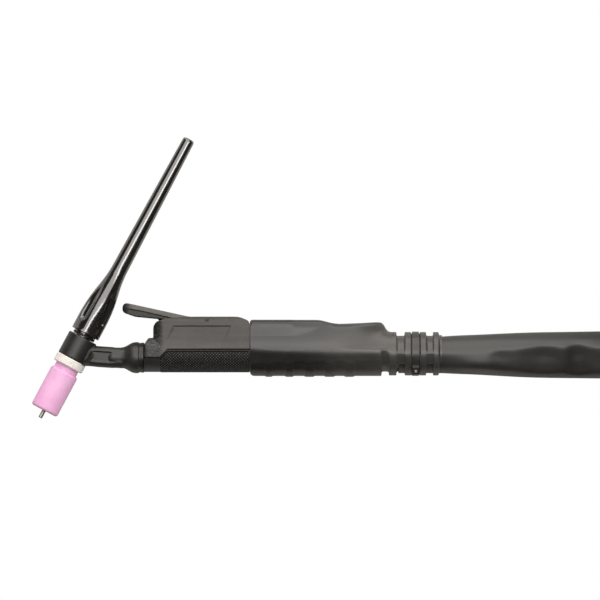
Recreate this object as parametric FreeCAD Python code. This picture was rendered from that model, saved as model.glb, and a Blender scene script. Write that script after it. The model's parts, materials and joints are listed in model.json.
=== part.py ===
import FreeCAD, Part
import math
import os

# Gas cooled TIG torch with a lever switch, lying on its side on a bench. Millimetres.
# +X runs from the nozzle towards the cables, +Y towards the lever, +Z up from the bench.
# The origin is the middle of the rear boot's flat side, on the bench.

# Clearances shared by every piece
RUNNING_FIT = 0.05
FACE_GAP = 0.05
SOFT_GAP = 0.3

# Electrode axis and the head around it. Stations run along this axis from the neck's
# axis, positive towards the back cap.
HEAD_X = -144.7
HEAD_Y = -0.6
ELECTRODE_ANGLE = 61.9
BARREL_RADIUS = 9.1
BARREL_BELOW = 2.6
BARREL_ABOVE = 11.9
BARREL_EDGE = 0.5
CORE_RADIUS = 6.6
CORE_SUNK = 0.4
HEAD_THREAD_RADIUS = 4.5

# Nozzle, gasket, collet body, collet and electrode
GASKET_RADIUS = 9.4
GASKET_THICKNESS = 5.25
GASKET_SOCKET_DEPTH = 3.9
GASKET_EDGE = 1.1
NOZZLE_RADIUS = 8.65
NOZZLE_BORE_RADIUS = 6.35
NOZZLE_NECK_RADIUS = 7.3
NOZZLE_LENGTH = 33.5
NOZZLE_BODY_LENGTH = 25.9
NOZZLE_SHOULDER_EDGE = 1.3
NOZZLE_MOUTH_EDGE = 1.5
NOZZLE_END_GAP = 0.2
NOZZLE_THREAD_RADIUS = 5.4
NOZZLE_THREAD_LENGTH = 10.9
COLLET_BODY_THREAD_LENGTH = 5.4
COLLET_NOSE_RADIUS = 3.8
COLLET_NOSE_TIP_RADIUS = 2.4
COLLET_NOSE_LENGTH = 9.0
COLLET_NOSE_TAPER = 2.0
GAS_HOLE_RADIUS = 0.9
GAS_HOLE_COUNT = 4
GAS_HOLE_BACK = 5.5
COLLET_RADIUS = 1.95
COLLET_LENGTH = 23.5
COLLET_TIP_TAPER = 0.5
COLLET_SLIT_WIDTH = 0.4
COLLET_SLIT_LENGTH = 14.0
COLLET_PROUD = 0.1
ELECTRODE_RADIUS = 1.2
ELECTRODE_LENGTH = 175.0
ELECTRODE_STICK_OUT = 5.0
ELECTRODE_CHAMFER = 0.3

# Long back cap and its seal
CAP_SEAT_GAP = 0.15
CAP_NECK_RADIUS = 6.9
CAP_NECK_LENGTH = 2.4
CAP_RIM_RADIUS = 8.92
CAP_RIM_EDGE = 0.5
CAP_LENGTH_ABOVE_RIM = 132.55
CAP_FLARE_START = 18.15
CAP_FLARE_END = 38.45
CAP_FLARE_TOP_RADIUS = 5.0
CAP_FLARE_LOWER_BEND = 94.0
CAP_FLARE_UPPER_BEND = 70.0
CAP_TIP_RADIUS = 3.62
CAP_TIP_EDGE = 1.8
CAP_END_WALL = 3.0
CAP_BORE_CLEARANCE = 0.35
CAP_FLUTE_COUNT = 4
CAP_FLUTE_RADIUS = 4.6
CAP_FLUTE_DEPTH = 2.2
CAP_FLUTE_START = 10.1
CAP_FLUTE_LENGTH = 34.0
CAP_FLUTE_TILT = 1.0
RING_CORD_RADIUS = 0.6
RING_GROOVE_DEPTH = 1.05
RING_GROOVE_WALL = 0.45

# Neck, bulb and the spigot that the handle closes on
NECK_DROP_ANGLE = 3.76
NECK_HALF_HEIGHT = 6.07
NECK_HALF_WIDTH = 5.8
NECK_CORNER = 4.0
NECK_PANEL_START = 6.1
NECK_PANEL_END = 26.1
NECK_PANEL_HALF_HEIGHT = 3.0
NECK_PANEL_DEPTH = 0.8
NECK_PANEL_FROM_BARREL = 1.2
TUBE_RADIUS = 4.0
TUBE_BORE_RADIUS = 2.4
HANDLE_AXIS_Y = -2.2
BULB_RADIUS = 9.35
BULB_LENGTH = 3.55
FLARE_LENGTH = 5.55
FLARE_HOLLOW_BEND = 8.5
FLARE_CROWN_BEND = 7.5
GROOVE_WIDTH = 1.4
GROOVE_DEPTH = 0.55
RING_WIDTH = 1.85
RING_RADIUS = 9.03
SPIGOT_RADIUS = 7.5
SPIGOT_LENGTH = 6.3

# Handle: the knurled lower grip and the switch housing on top of it
HANDLE_FRONT_X = -102.3
HANDLE_LENGTH = 86.3
GRIP_RADIUS = 12.9
GRIP_AXIS_Y = 2.1
GRIP_WALL = 2.2
GRIP_FRONT_WALL = 2.4
GRIP_DIP_LENGTH = 9.3
GRIP_DIP_DEPTH = 4.8
GRIP_RAMP_LENGTH = 4.8
HOUSING_HALF_WIDTH = 12.4
HOUSING_TOP_Y = 22.2
HOUSING_CORNER = 4.5
HOUSING_WALL = 2.0
HOUSING_ROOF_Y = 17.8
HOUSING_TAIL_Y = 18.0
NOSE_SETBACK = 5.4
NOSE_TOP_Y = 19.9
NOSE_TOP_BEND = 5.0
NOSE_LENGTH = 5.9
NOSE_PLAN_BEND = 6.5
NOSE_WALL = 2.4
CHEEK_STEP = 1.4
SADDLE_SETBACK = 0.25
SADDLE_TOP_Y = 9.5
SADDLE_FACE_HEIGHT = 8.4
SADDLE_SLOPE_LENGTH = 2.4
SADDLE_CORNER = 7.0
SADDLE_WALL = 2.4
PANEL_DEPTH = 0.35
PANEL_TOP_Y = 16.6
PANEL_BOTTOM_Y = 6.0
PANEL_TOP_START = 16.9
PANEL_TOP_LENGTH = 35.9
PANEL_BOTTOM_START = 12.6
PANEL_BOTTOM_LENGTH = 42.3
PANEL_CORNER = 0.8

# Switch lever, its pin and spring
PIVOT_FROM_FRONT = 37.7
PIVOT_Y = 19.9
PIN_RADIUS = 0.9
PIN_SUNK = 0.35
LEVER_HALF_WIDTH = 7.0
LEVER_SIDE_GAP = 0.3
LEVER_FRONT = 50.9
LEVER_PLATE = 3.2
LEVER_PLATE_OVERHANG = 0.6
LEVER_SKIRT = 1.6
LEVER_BOSS_RADIUS = 2.3
LEVER_TIP_BEND = 6.0
LEVER_SLOT_FLOOR_Y = 17.6
LEVER_EDGE = 0.6
SPRING_COIL_RADIUS = 2.2
SPRING_SHELF = 1.6
SPRING_WIRE_RADIUS = 0.35
SPRING_TURNS = 5
SPRING_FROM_FRONT = 10.7
SPRING_SEAT_Y = 11.6

# Microswitch under the lever
SWITCH_FROM_FRONT = 13.6
SWITCH_LENGTH = 20.0
SWITCH_HEIGHT = 10.3
SWITCH_THICKNESS = 6.4
SWITCH_BOTTOM_Y = 5.7
SWITCH_EDGE = 0.5
SWITCH_SCREW_SPACING = 9.6
SWITCH_SCREW_HEIGHT = 2.9
SWITCH_SCREW_RADIUS = 1.1
SWITCH_SCREW_HEAD_RADIUS = 1.9
SWITCH_SCREW_HEAD = 1.3
SWITCH_BOSS_RADIUS = 2.4
PLUNGER_RADIUS = 1.1
PLUNGER_PROUD = 1.6
PLUNGER_SUNK = 4.0
PLUNGER_TO_PIVOT = 12.0
TERMINAL_LENGTH = 6.0
TERMINAL_WIDTH = 2.8
TERMINAL_THICKNESS = 0.5
TERMINAL_HEIGHT = 1.5
TERMINAL_SPACING = 4.4
WIRE_RADIUS = 0.9

# Neck tube fitting and the power cable through the handle
NUT_ACROSS_FLATS = 11.0
NUT_LENGTH = 12.0
NUT_FROM_FRONT = 14.3
INNER_CABLE_RADIUS = 5.5

# Rear boot with its notched bend relief
BOOT_HALF_WIDTH = 14.0
BOOT_FRONT_X = -39.0
BOOT_LENGTH = 115.0
BOOT_AXIS_Y = 0.8
# Boot's upper form: distance from its front, top, half width and corner radius
BOOT_CROWN = [
    (0, 19.4, 13.4, 4.4), (0.9, 20.3, 14.0, 5.0), (39.5, 20.3, 14.0, 5.0), (42.5, 20.05, 13.9, 5.0),
    (45.5, 19.4, 13.6, 5.0), (48.5, 18.7, 13.2, 5.0), (51.0, 18.2, 12.9, 5.0), (54.0, 18.0, 12.7, 5.0),
    (66.0, 18.5, 12.5, 5.0), (76.5, 19.05, 12.4, 5.0), (78.3, 18.9, 12.2, 4.8), (79.8, 18.1, 11.8, 4.6),
    (81.2, 16.4, 11.2, 4.2), (82.4, 14.7, 10.4, 3.8), (83.6, 13.6, 9.6, 3.4), (86.5, 13.1, 8.5, 3.0),
]
BOOT_SHOULDER_Y = 13.0
BOOT_CORNER = 5.0
BOOT_BOTTOM_BEND = 12.0
BOOT_BOTTOM_HALF_WIDTH = 5.8
BOOT_SIDE_BEND = 8.5
BOOT_SIDE_BEND_Y = -3.1
BOOT_LIP_BEND = 2.5
BOOT_POCKET_GAP = 0.1
BOOT_CORE_RADIUS = 10.0
RELIEF_RADIUS = 13.05
RELIEF_AXIS_Y = 0.15
RELIEF_START = 83.0
BOOT_SHOULDER_TAPER = 16.0
BOOT_SHOULDER_BULGE = 3.0
RIB_STARTS = [9.4, 21.4, 33.0, 45.0, 57.0]
RIB_WIDTHS = [3.7, 4.4, 5.2, 5.4, 5.2]
RIB_HEIGHT = 0.55
NOTCH_LOWER = [(78.9, 4.4), (87.8, 4.9), (105.6, 4.2)]
NOTCH_UPPER = [(87.8, 4.9), (105.6, 4.2)]
NOTCH_DEPTH = 2.3
TIE_FROM_FRONT = 97.2
TIE_WIDTH = 4.0
TIE_THICKNESS = 0.9
TIE_PROUD = 0.25
TIE_SIDE_GAP = 0.3
TIE_HEAD_LENGTH = 4.0
TIE_HEAD_WIDTH = 5.2
TIE_HEAD_HEIGHT = 3.4
TIE_HEAD_ANGLE = 42.0

# Cable sheath: the straight run, and the coil it is put away in
SHEATH_AXIS_Y = -0.5
SHEATH_FRONT_RADIUS = 11.0
SHEATH_RADIUS = 14.0
SHEATH_GRIP_LENGTH = 26.0
SHEATH_TAPER_LENGTH = 60.0
SHEATH_TAPER_BEND = 1000.0
COIL_CENTRE_X = 335.0
COIL_OUTER_RADIUS = 145.0
COIL_PITCH = 28.5
COIL_LAYER = 28.45
COIL_LEAD_IN = 28.0
COIL_LEAD_OUT = 42.0
COIL_LONGEST_STEP = 0.15
# Each move of the winding: turns, rings stepped inwards, layers stepped up
COIL_MOVES = [
    (0.7, 0, 0), (0.3, 1, 0), (0.5, 0, 0), (0.2, 0, 1), (0.5, 0, 0),
    (0.3, -1, 0), (0.5, 0, 0), (0.2, 0, 1), (0.55, 0, 0),
]

# Collar at the sheath's end, and the two short tails with their plugs
COLLAR_RADIUS = 14.5
COLLAR_LENGTH = 22.0
COLLAR_OVERLAP = 10.0
COLLAR_TIP_RADIUS = 12.5
POWER_CABLE_RADIUS = 6.0
CONTROL_LEAD_RADIUS = 3.0
POWER_ROUTE = [
    (186.5, 90.5, 70.5), (186.5, 62.0, 70.5), (190.0, 24.0, 56.0), (200.0, -4.0, 42.0), (215.0, -25.0, 22.0),
    (238.0, -31.5, 8.0), (272.0, -31.5, 6.0), (340.0, -31.0, 6.0), (372.0, -25.0, 13.1), (400.0, -25.0, 13.1),
]
CONTROL_ROUTE = [
    (198.5, 90.5, 71.0), (198.5, 70.0, 71.0), (204.0, 40.0, 57.0), (216.0, 10.0, 42.0), (230.0, -13.0, 28.5),
    (250.0, -21.5, 8.0), (284.0, -20.0, 3.0), (335.0, -19.2, 3.0), (390.0, -13.0, 3.0), (420.0, 3.0, 9.7),
    (446.0, 3.0, 9.7),
]
PLUG_SLEEVE_RADIUS = 13.0
PLUG_SLEEVE_LENGTH = 64.0
PLUG_SLEEVE_TAIL_RADIUS = 8.6
PLUG_SLEEVE_TAIL_LENGTH = 24.0
PLUG_SLEEVE_RIDGE = 1.0
PLUG_PIN_RADIUS = 6.5
PLUG_PIN_LENGTH = 25.0
PLUG_PIN_CHAMFER = 1.0
PLUG_PIN_BORE_RADIUS = 2.5
PLUG_PIN_BORE_DEPTH = 20.0
PLUG_PIN_ROOT = 12.0
PLUG_PIN_ROOT_RADIUS = 5.5
CONTROL_SHELL_RADIUS = 7.6
CONTROL_SHELL_LENGTH = 30.0
CONTROL_SHELL_WALL = 1.2
CONTROL_MOUTH_DEPTH = 9.0
CONTROL_RING_RADIUS = 9.4
CONTROL_RING_LENGTH = 13.0
CONTROL_RING_FROM_MOUTH = 1.5
CONTROL_RING_STOP = 1.0
CONTROL_GROOVE_COUNT = 12
CONTROL_GROOVE_RADIUS = 1.3
CONTROL_GROOVE_PROUD = 0.9
CONTROL_NUT_ACROSS_FLATS = 16.0
CONTROL_NUT_LENGTH = 9.0
CONTROL_PIN_COUNT = 5
CONTROL_PIN_RADIUS = 0.8
CONTROL_PIN_CIRCLE = 3.6
CONTROL_PIN_LENGTH = 7.0

# Places that follow from the sizes above
AXIS_Z = BOOT_HALF_WIDTH
BARREL_FRONT = -BARREL_BELOW
GASKET_REAR = BARREL_FRONT - FACE_GAP
GASKET_FRONT = GASKET_REAR - GASKET_THICKNESS
NOZZLE_REAR = GASKET_FRONT + GASKET_SOCKET_DEPTH - NOZZLE_END_GAP
NOZZLE_MOUTH = NOZZLE_REAR - NOZZLE_LENGTH
COLLET_BODY_REAR = BARREL_FRONT + COLLET_BODY_THREAD_LENGTH
COLLET_BODY_THREAD_END = BARREL_FRONT - NOZZLE_THREAD_LENGTH
COLLET_BODY_TIP = COLLET_BODY_THREAD_END - COLLET_NOSE_LENGTH
COLLET_REAR = COLLET_BODY_REAR + COLLET_PROUD
COLLET_FRONT = COLLET_REAR - COLLET_LENGTH
ELECTRODE_TIP = NOZZLE_MOUTH - ELECTRODE_STICK_OUT
CAP_END = COLLET_REAR + SOFT_GAP
CAP_NECK_START = BARREL_ABOVE + CAP_SEAT_GAP
CAP_RIM = CAP_NECK_START + CAP_NECK_LENGTH
CAP_TOP = CAP_RIM + CAP_LENGTH_ABOVE_RIM
HANDLE_REAR_X = HANDLE_FRONT_X + HANDLE_LENGTH
NOSE_X = HANDLE_FRONT_X + NOSE_SETBACK
SADDLE_X = HANDLE_FRONT_X + SADDLE_SETBACK
GRIP_TOP_Y = GRIP_AXIS_Y
GRIP_DIP_Y = GRIP_TOP_Y - GRIP_DIP_DEPTH
DIP_END_X = HANDLE_FRONT_X + GRIP_DIP_LENGTH
RAMP_END_X = DIP_END_X + GRIP_RAMP_LENGTH
PIVOT_X = HANDLE_FRONT_X + PIVOT_FROM_FRONT
SWITCH_X = HANDLE_FRONT_X + SWITCH_FROM_FRONT
SWITCH_TOP_Y = SWITCH_BOTTOM_Y + SWITCH_HEIGHT
PLUNGER_X = PIVOT_X - PLUNGER_TO_PIVOT
NUT_X = HANDLE_FRONT_X + NUT_FROM_FRONT
BOOT_REAR_X = BOOT_FRONT_X + BOOT_LENGTH
SHEATH_START_X = BOOT_REAR_X - SHEATH_GRIP_LENGTH
COIL_CENTRE_Y = SHEATH_AXIS_Y + COIL_OUTER_RADIUS
COIL_START_X = COIL_CENTRE_X - COIL_LEAD_IN
LEVER_DROP_SLOPE = 0.233


def vec(x=0.0, y=0.0, z=0.0):
    return FreeCAD.Vector(x, y, z)


ELECTRODE_WAY = vec(math.cos(math.radians(ELECTRODE_ANGLE)), math.sin(math.radians(ELECTRODE_ANGLE)))
NECK_WAY = vec(math.cos(math.radians(NECK_DROP_ANGLE)), -math.sin(math.radians(NECK_DROP_ANGLE)))
HEAD_CENTRE = vec(HEAD_X, HEAD_Y, AXIS_Z)
NECK_RUN = (HEAD_Y - HANDLE_AXIS_Y) / math.sin(math.radians(NECK_DROP_ANGLE))
NECK_END = HEAD_CENTRE + NECK_WAY * NECK_RUN


def rounded(corners, place):
    """Closed wire through (u, v, radius) corners, each rounded by a tangent arc of its radius."""
    spots = [place(u, v) for u, v, radius in corners]
    ends = []
    for i, (u, v, radius) in enumerate(corners):
        here = spots[i]
        if radius == 0:
            ends.append((here, None, here))
            continue
        back = (spots[i - 1] - here).normalize()
        ahead = (spots[(i + 1) % len(spots)] - here).normalize()
        half = back.getAngle(ahead) / 2
        reach = radius / math.tan(half)
        inward = (back + ahead).normalize()
        middle = here + inward * (radius / math.sin(half) - radius)
        ends.append((here + back * reach, middle, here + ahead * reach))
    edges = []
    for i, (start, middle, end) in enumerate(ends):
        if middle is not None:
            edges.append(Part.Arc(start, middle, end).toShape())
        following = ends[(i + 1) % len(ends)][0]
        if end.distanceToPoint(following) > 1e-6:
            edges.append(Part.LineSegment(end, following).toShape())
    return Part.Wire(edges)


def side_face(corners):
    """Face in the side view, X and Y, from (x, y, radius) corners."""
    return Part.Face(rounded(corners, lambda x, y: vec(x, y, 0)))


def side_slab(corners, half_width):
    """Side view outline made thick, evenly about the torch's middle plane."""
    face = side_face(corners)
    face.translate(vec(0, 0, AXIS_Z - half_width))
    return face.extrude(vec(0, 0, 2 * half_width))


def section_bar(corners, start_x, end_x):
    """Cross-section of (y, z from the middle plane, radius) corners drawn along X."""
    wire = rounded(corners, lambda y, z: vec(start_x, y, AXIS_Z + z))
    return Part.Face(wire).extrude(vec(end_x - start_x, 0, 0))


def plan_slab(corners, low_y, high_y):
    """Plan view outline of (x, z from the middle plane, radius) corners drawn along Y."""
    wire = rounded(corners, lambda x, z: vec(x, low_y, AXIS_Z + z))
    return Part.Face(wire).extrude(vec(0, high_y - low_y, 0))


def box_between(low, high):
    return Part.makeBox(high[0] - low[0], high[1] - low[1], high[2] - low[2], vec(*low))


def spun(corners):
    """Solid turned about its own Z axis from (radius, station, bend) corners."""
    wire = rounded(corners, lambda r, h: vec(r, 0, h))
    return Part.Face(wire).revolve(vec(), vec(0, 0, 1), 360)


def rod(radius, start, end):
    """Round bar between two stations of its own Z axis."""
    return Part.makeCylinder(radius, end - start, vec(0, 0, start))


def tube(radius, bore, start, end):
    return rod(radius, start, end).cut(rod(bore, start - 1, end + 1))


def hexagon_bar(across_flats, start, end):
    """Six sided bar along its own Z axis, with flats facing local X."""
    corner = across_flats / math.sqrt(3)
    angles = [math.radians(30 + 60 * i) for i in range(6)]
    points = [vec(corner * math.cos(a), corner * math.sin(a), start) for a in angles]
    return Part.Face(Part.makePolygon(points + points[:1])).extrude(vec(0, 0, end - start))


def aimed(shape, origin, x_way, z_way):
    """Moves a shape from its own axes to an origin with the given X and Z directions."""
    turn = FreeCAD.Rotation(x_way, z_way.cross(x_way), z_way, "ZXY")
    moved = shape.copy()
    moved.Placement = FreeCAD.Placement(origin, turn)
    return moved


def on_electrode(shape):
    side = vec(ELECTRODE_WAY.y, -ELECTRODE_WAY.x, 0)
    return aimed(shape, HEAD_CENTRE, side, ELECTRODE_WAY)


def on_neck(shape):
    return aimed(shape, HEAD_CENTRE, vec(-NECK_WAY.y, NECK_WAY.x, 0), NECK_WAY)


def on_handle(shape, axis_y=HANDLE_AXIS_Y):
    """Puts a turned shape on an axis along X, where its stations are X places."""
    return aimed(shape, vec(0, axis_y, AXIS_Z), vec(0, 1, 0), vec(1, 0, 0))


def fused(shapes):
    whole = shapes[0].fuse(shapes[1:]) if len(shapes) > 1 else shapes[0]
    return whole.removeSplitter()


def electrode():
    rear = ELECTRODE_TIP + ELECTRODE_LENGTH
    return on_electrode(spun([
        (0, ELECTRODE_TIP, 0),
        (ELECTRODE_RADIUS - ELECTRODE_CHAMFER, ELECTRODE_TIP, 0),
        (ELECTRODE_RADIUS, ELECTRODE_TIP + ELECTRODE_CHAMFER, 0),
        (ELECTRODE_RADIUS, rear, 0),
        (0, rear, 0),
    ]))


def collet():
    """Split copper sleeve that grips the electrode."""
    bore = ELECTRODE_RADIUS + RUNNING_FIT
    body = spun([
        (bore, COLLET_FRONT, 0),
        (COLLET_RADIUS - COLLET_TIP_TAPER, COLLET_FRONT, 0),
        (COLLET_RADIUS, COLLET_FRONT + 3 * COLLET_TIP_TAPER, 0),
        (COLLET_RADIUS, COLLET_REAR, 0),
        (bore, COLLET_REAR, 0),
    ])
    slit = Part.makeBox(
        COLLET_SLIT_WIDTH, 4 * COLLET_RADIUS, COLLET_SLIT_LENGTH + 1,
        vec(-COLLET_SLIT_WIDTH / 2, -2 * COLLET_RADIUS, COLLET_FRONT - 1),
    )
    return on_electrode(body.cut(slit))


def collet_body():
    """Copper body that screws into the head, holds the nozzle and feeds the gas."""
    bore = COLLET_RADIUS + RUNNING_FIT
    tip_bore = ELECTRODE_RADIUS + SOFT_GAP
    seat = COLLET_FRONT - FACE_GAP
    body = spun([
        (tip_bore, COLLET_BODY_TIP, 0),
        (COLLET_NOSE_TIP_RADIUS, COLLET_BODY_TIP, 0),
        (COLLET_NOSE_RADIUS, COLLET_BODY_TIP + COLLET_NOSE_TAPER, 0),
        (COLLET_NOSE_RADIUS, COLLET_BODY_THREAD_END, 0),
        (NOZZLE_THREAD_RADIUS, COLLET_BODY_THREAD_END, 0),
        (NOZZLE_THREAD_RADIUS, BARREL_FRONT, 0),
        (HEAD_THREAD_RADIUS, BARREL_FRONT, 0),
        (HEAD_THREAD_RADIUS, COLLET_BODY_REAR, 0),
        (bore, COLLET_BODY_REAR, 0),
        (bore, seat, 0),
        (tip_bore, seat, 0),
    ])
    station = COLLET_BODY_TIP + GAS_HOLE_BACK
    for i in range(GAS_HOLE_COUNT):
        angle = math.radians(45 + 360 * i / GAS_HOLE_COUNT)
        way = vec(math.cos(angle), math.sin(angle), 0)
        body = body.cut(Part.makeCylinder(GAS_HOLE_RADIUS, 2 * COLLET_NOSE_RADIUS, vec(0, 0, station), way))
    return on_electrode(body)


def nozzle():
    """Alumina cup with a screwed neck inside the gasket."""
    shoulder = NOZZLE_MOUTH + NOZZLE_BODY_LENGTH
    thread = NOZZLE_THREAD_RADIUS + RUNNING_FIT
    thread_end = COLLET_BODY_THREAD_END - SOFT_GAP
    return on_electrode(spun([
        (NOZZLE_BORE_RADIUS, NOZZLE_MOUTH, NOZZLE_MOUTH_EDGE / 2),
        (NOZZLE_RADIUS, NOZZLE_MOUTH, NOZZLE_MOUTH_EDGE),
        (NOZZLE_RADIUS, shoulder, NOZZLE_SHOULDER_EDGE),
        (NOZZLE_NECK_RADIUS, shoulder + NOZZLE_SHOULDER_EDGE / 2, 0),
        (NOZZLE_NECK_RADIUS, NOZZLE_REAR, 0),
        (thread, NOZZLE_REAR, 0),
        (thread, thread_end, 0),
        (NOZZLE_BORE_RADIUS, thread_end - (NOZZLE_BORE_RADIUS - thread), 0),
    ]))


def cup_gasket():
    """PTFE washer with a socket for the nozzle's neck."""
    socket = NOZZLE_NECK_RADIUS + RUNNING_FIT
    floor = GASKET_FRONT + GASKET_SOCKET_DEPTH
    bore = NOZZLE_THREAD_RADIUS + 2 * RUNNING_FIT
    return on_electrode(spun([
        (socket, GASKET_FRONT, 0),
        (GASKET_RADIUS, GASKET_FRONT, GASKET_EDGE),
        (GASKET_RADIUS, GASKET_REAR, GASKET_EDGE / 2),
        (bore, GASKET_REAR, 0),
        (bore, floor, 0),
        (socket, floor, 0),
    ]))


def neck_tube(radius, end_x):
    """Bent tube from the head to a place along the handle's axis."""
    return fused([
        on_neck(rod(radius, 0, NECK_RUN)),
        Part.makeSphere(radius, NECK_END),
        on_handle(rod(radius, NECK_END.x, end_x)),
    ])


def below_head():
    """Everything in front of the barrel's lower face, near the head."""
    return on_electrode(rod(3 * BARREL_RADIUS, BARREL_FRONT - 40, BARREL_FRONT))


def head_core():
    """Brass head with one screwed bore, and the gas and power tube brazed to it."""
    rear = BARREL_ABOVE - CORE_SUNK
    tail = neck_tube(TUBE_RADIUS, NUT_X + NUT_LENGTH).cut(below_head())
    body = fused([on_electrode(rod(CORE_RADIUS, BARREL_FRONT, rear)), tail])
    bore = on_electrode(rod(HEAD_THREAD_RADIUS + RUNNING_FIT, BARREL_FRONT - 1, rear + 1))
    return body.cut(bore).cut(neck_tube(TUBE_BORE_RADIUS, NUT_X + NUT_LENGTH + 1))


def neck_bar():
    """The neck's rubber outside, between the barrel and the bend."""
    half_height = NECK_HALF_HEIGHT
    half_width = NECK_HALF_WIDTH
    wire = rounded([
        (half_height, half_width, NECK_CORNER), (-half_height, half_width, NECK_CORNER),
        (-half_height, -half_width, NECK_CORNER), (half_height, -half_width, NECK_CORNER),
    ], lambda u, v: vec(u, v, 0))
    bar = Part.Face(wire).extrude(vec(0, 0, NECK_RUN + FLARE_LENGTH))
    for side in (-1, 1):
        low = half_width - NECK_PANEL_DEPTH if side > 0 else -half_width - 1
        panel = Part.makeBox(
            2 * NECK_PANEL_HALF_HEIGHT, NECK_PANEL_DEPTH + 1, NECK_PANEL_END - NECK_PANEL_START,
            vec(-NECK_PANEL_HALF_HEIGHT, low, NECK_PANEL_START),
        )
        upright = [edge for edge in panel.Edges if abs(edge.tangentAt(0).y) > 0.9]
        panel = panel.makeFillet(1.0, upright)
        land = on_electrode(rod(BARREL_RADIUS + NECK_PANEL_FROM_BARREL, -30, 40))
        bar = bar.cut(panel.cut(off_neck(land)))
    return on_neck(bar)


def off_neck(shape):
    """A shape in the torch's frame as the neck's own frame sees it."""
    moved = shape.copy()
    frame = on_neck(Part.Vertex(0, 0, 0)).Placement
    moved.Placement = frame.inverse().multiply(shape.Placement)
    return moved


def bulb():
    """Flare, bulb, groove and ring behind the neck, and the spigot inside the handle."""
    ring_start = HANDLE_FRONT_X - FACE_GAP - RING_WIDTH
    groove_start = ring_start - GROOVE_WIDTH
    bulb_start = groove_start - BULB_LENGTH
    flare_start = bulb_start - FLARE_LENGTH
    return on_handle(spun([
        (0, NECK_END.x, 0),
        (NECK_HALF_HEIGHT, NECK_END.x, 0),
        (NECK_HALF_HEIGHT, flare_start, FLARE_HOLLOW_BEND),
        (BULB_RADIUS, bulb_start, FLARE_CROWN_BEND),
        (BULB_RADIUS, groove_start, 0.4),
        (BULB_RADIUS - GROOVE_DEPTH, groove_start, 0),
        (BULB_RADIUS - GROOVE_DEPTH, ring_start, 0),
        (RING_RADIUS, ring_start, 0.3),
        (RING_RADIUS, ring_start + RING_WIDTH, 0),
        (SPIGOT_RADIUS, ring_start + RING_WIDTH, 0),
        (SPIGOT_RADIUS, ring_start + RING_WIDTH + SPIGOT_LENGTH, 0),
        (0, ring_start + RING_WIDTH + SPIGOT_LENGTH, 0),
    ]))


def head_insulation():
    """Moulded silicone rubber over the head, the neck and the bulb."""
    neck = neck_bar().cut(below_head())
    barrel = on_electrode(spun([
        (0, BARREL_FRONT, 0),
        (BARREL_RADIUS, BARREL_FRONT, BARREL_EDGE),
        (BARREL_RADIUS, BARREL_ABOVE, BARREL_EDGE),
        (0, BARREL_ABOVE, 0),
    ]))
    body = fused([barrel, neck, Part.makeSphere(NECK_HALF_HEIGHT, NECK_END), bulb()])
    bore = on_electrode(rod(CORE_RADIUS + RUNNING_FIT, BARREL_FRONT - 1, BARREL_ABOVE + 1))
    return body.cut(bore).cut(neck_tube(TUBE_RADIUS + RUNNING_FIT, HANDLE_FRONT_X + 3 * SPIGOT_LENGTH))


def back_cap():
    """Long phenolic cap: screwed end, seal groove, fluted base and slim tapered body."""
    groove_floor = CAP_NECK_RADIUS - RING_GROOVE_DEPTH
    groove_start = CAP_NECK_START + RING_GROOVE_WALL
    groove_end = groove_start + 2 * (RING_CORD_RADIUS + RUNNING_FIT)
    body = spun([
        (0, CAP_END, 0),
        (HEAD_THREAD_RADIUS, CAP_END, 0),
        (HEAD_THREAD_RADIUS, CAP_NECK_START, 0),
        (CAP_NECK_RADIUS, CAP_NECK_START, 0),
        (CAP_NECK_RADIUS, groove_start, 0),
        (groove_floor, groove_start, 0),
        (groove_floor, groove_end, 0),
        (CAP_NECK_RADIUS, groove_end, 0),
        (CAP_NECK_RADIUS, CAP_RIM, 0),
        (CAP_RIM_RADIUS, CAP_RIM, CAP_RIM_EDGE),
        (CAP_RIM_RADIUS, CAP_RIM + CAP_FLARE_START, CAP_FLARE_LOWER_BEND),
        (CAP_FLARE_TOP_RADIUS, CAP_RIM + CAP_FLARE_END, CAP_FLARE_UPPER_BEND),
        (CAP_TIP_RADIUS, CAP_TOP, CAP_TIP_EDGE),
        (0, CAP_TOP, 0),
    ])
    reach = CAP_RIM_RADIUS - CAP_FLUTE_DEPTH + CAP_FLUTE_RADIUS
    for i in range(CAP_FLUTE_COUNT):
        turn = FreeCAD.Rotation(vec(0, 0, 1), 45 + 360 * i / CAP_FLUTE_COUNT)
        start = turn.multVec(vec(reach, 0, CAP_RIM + CAP_FLUTE_START))
        lean = math.radians(CAP_FLUTE_TILT)
        way = turn.multVec(vec(-math.sin(lean), 0, math.cos(lean)))
        flute = Part.makeCylinder(CAP_FLUTE_RADIUS, CAP_FLUTE_LENGTH, start, way)
        body = body.cut(flute.fuse(Part.makeSphere(CAP_FLUTE_RADIUS, start)))
    bore = rod(ELECTRODE_RADIUS + CAP_BORE_CLEARANCE, CAP_END - 1, CAP_TOP - CAP_END_WALL)
    return on_electrode(body.cut(bore))


def cap_o_ring():
    centre = CAP_NECK_START + RING_GROOVE_WALL + RING_CORD_RADIUS + RUNNING_FIT
    circle = CAP_NECK_RADIUS - RING_GROOVE_DEPTH + RING_CORD_RADIUS + RUNNING_FIT
    return on_electrode(Part.makeTorus(circle, RING_CORD_RADIUS, vec(0, 0, centre)))


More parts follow.
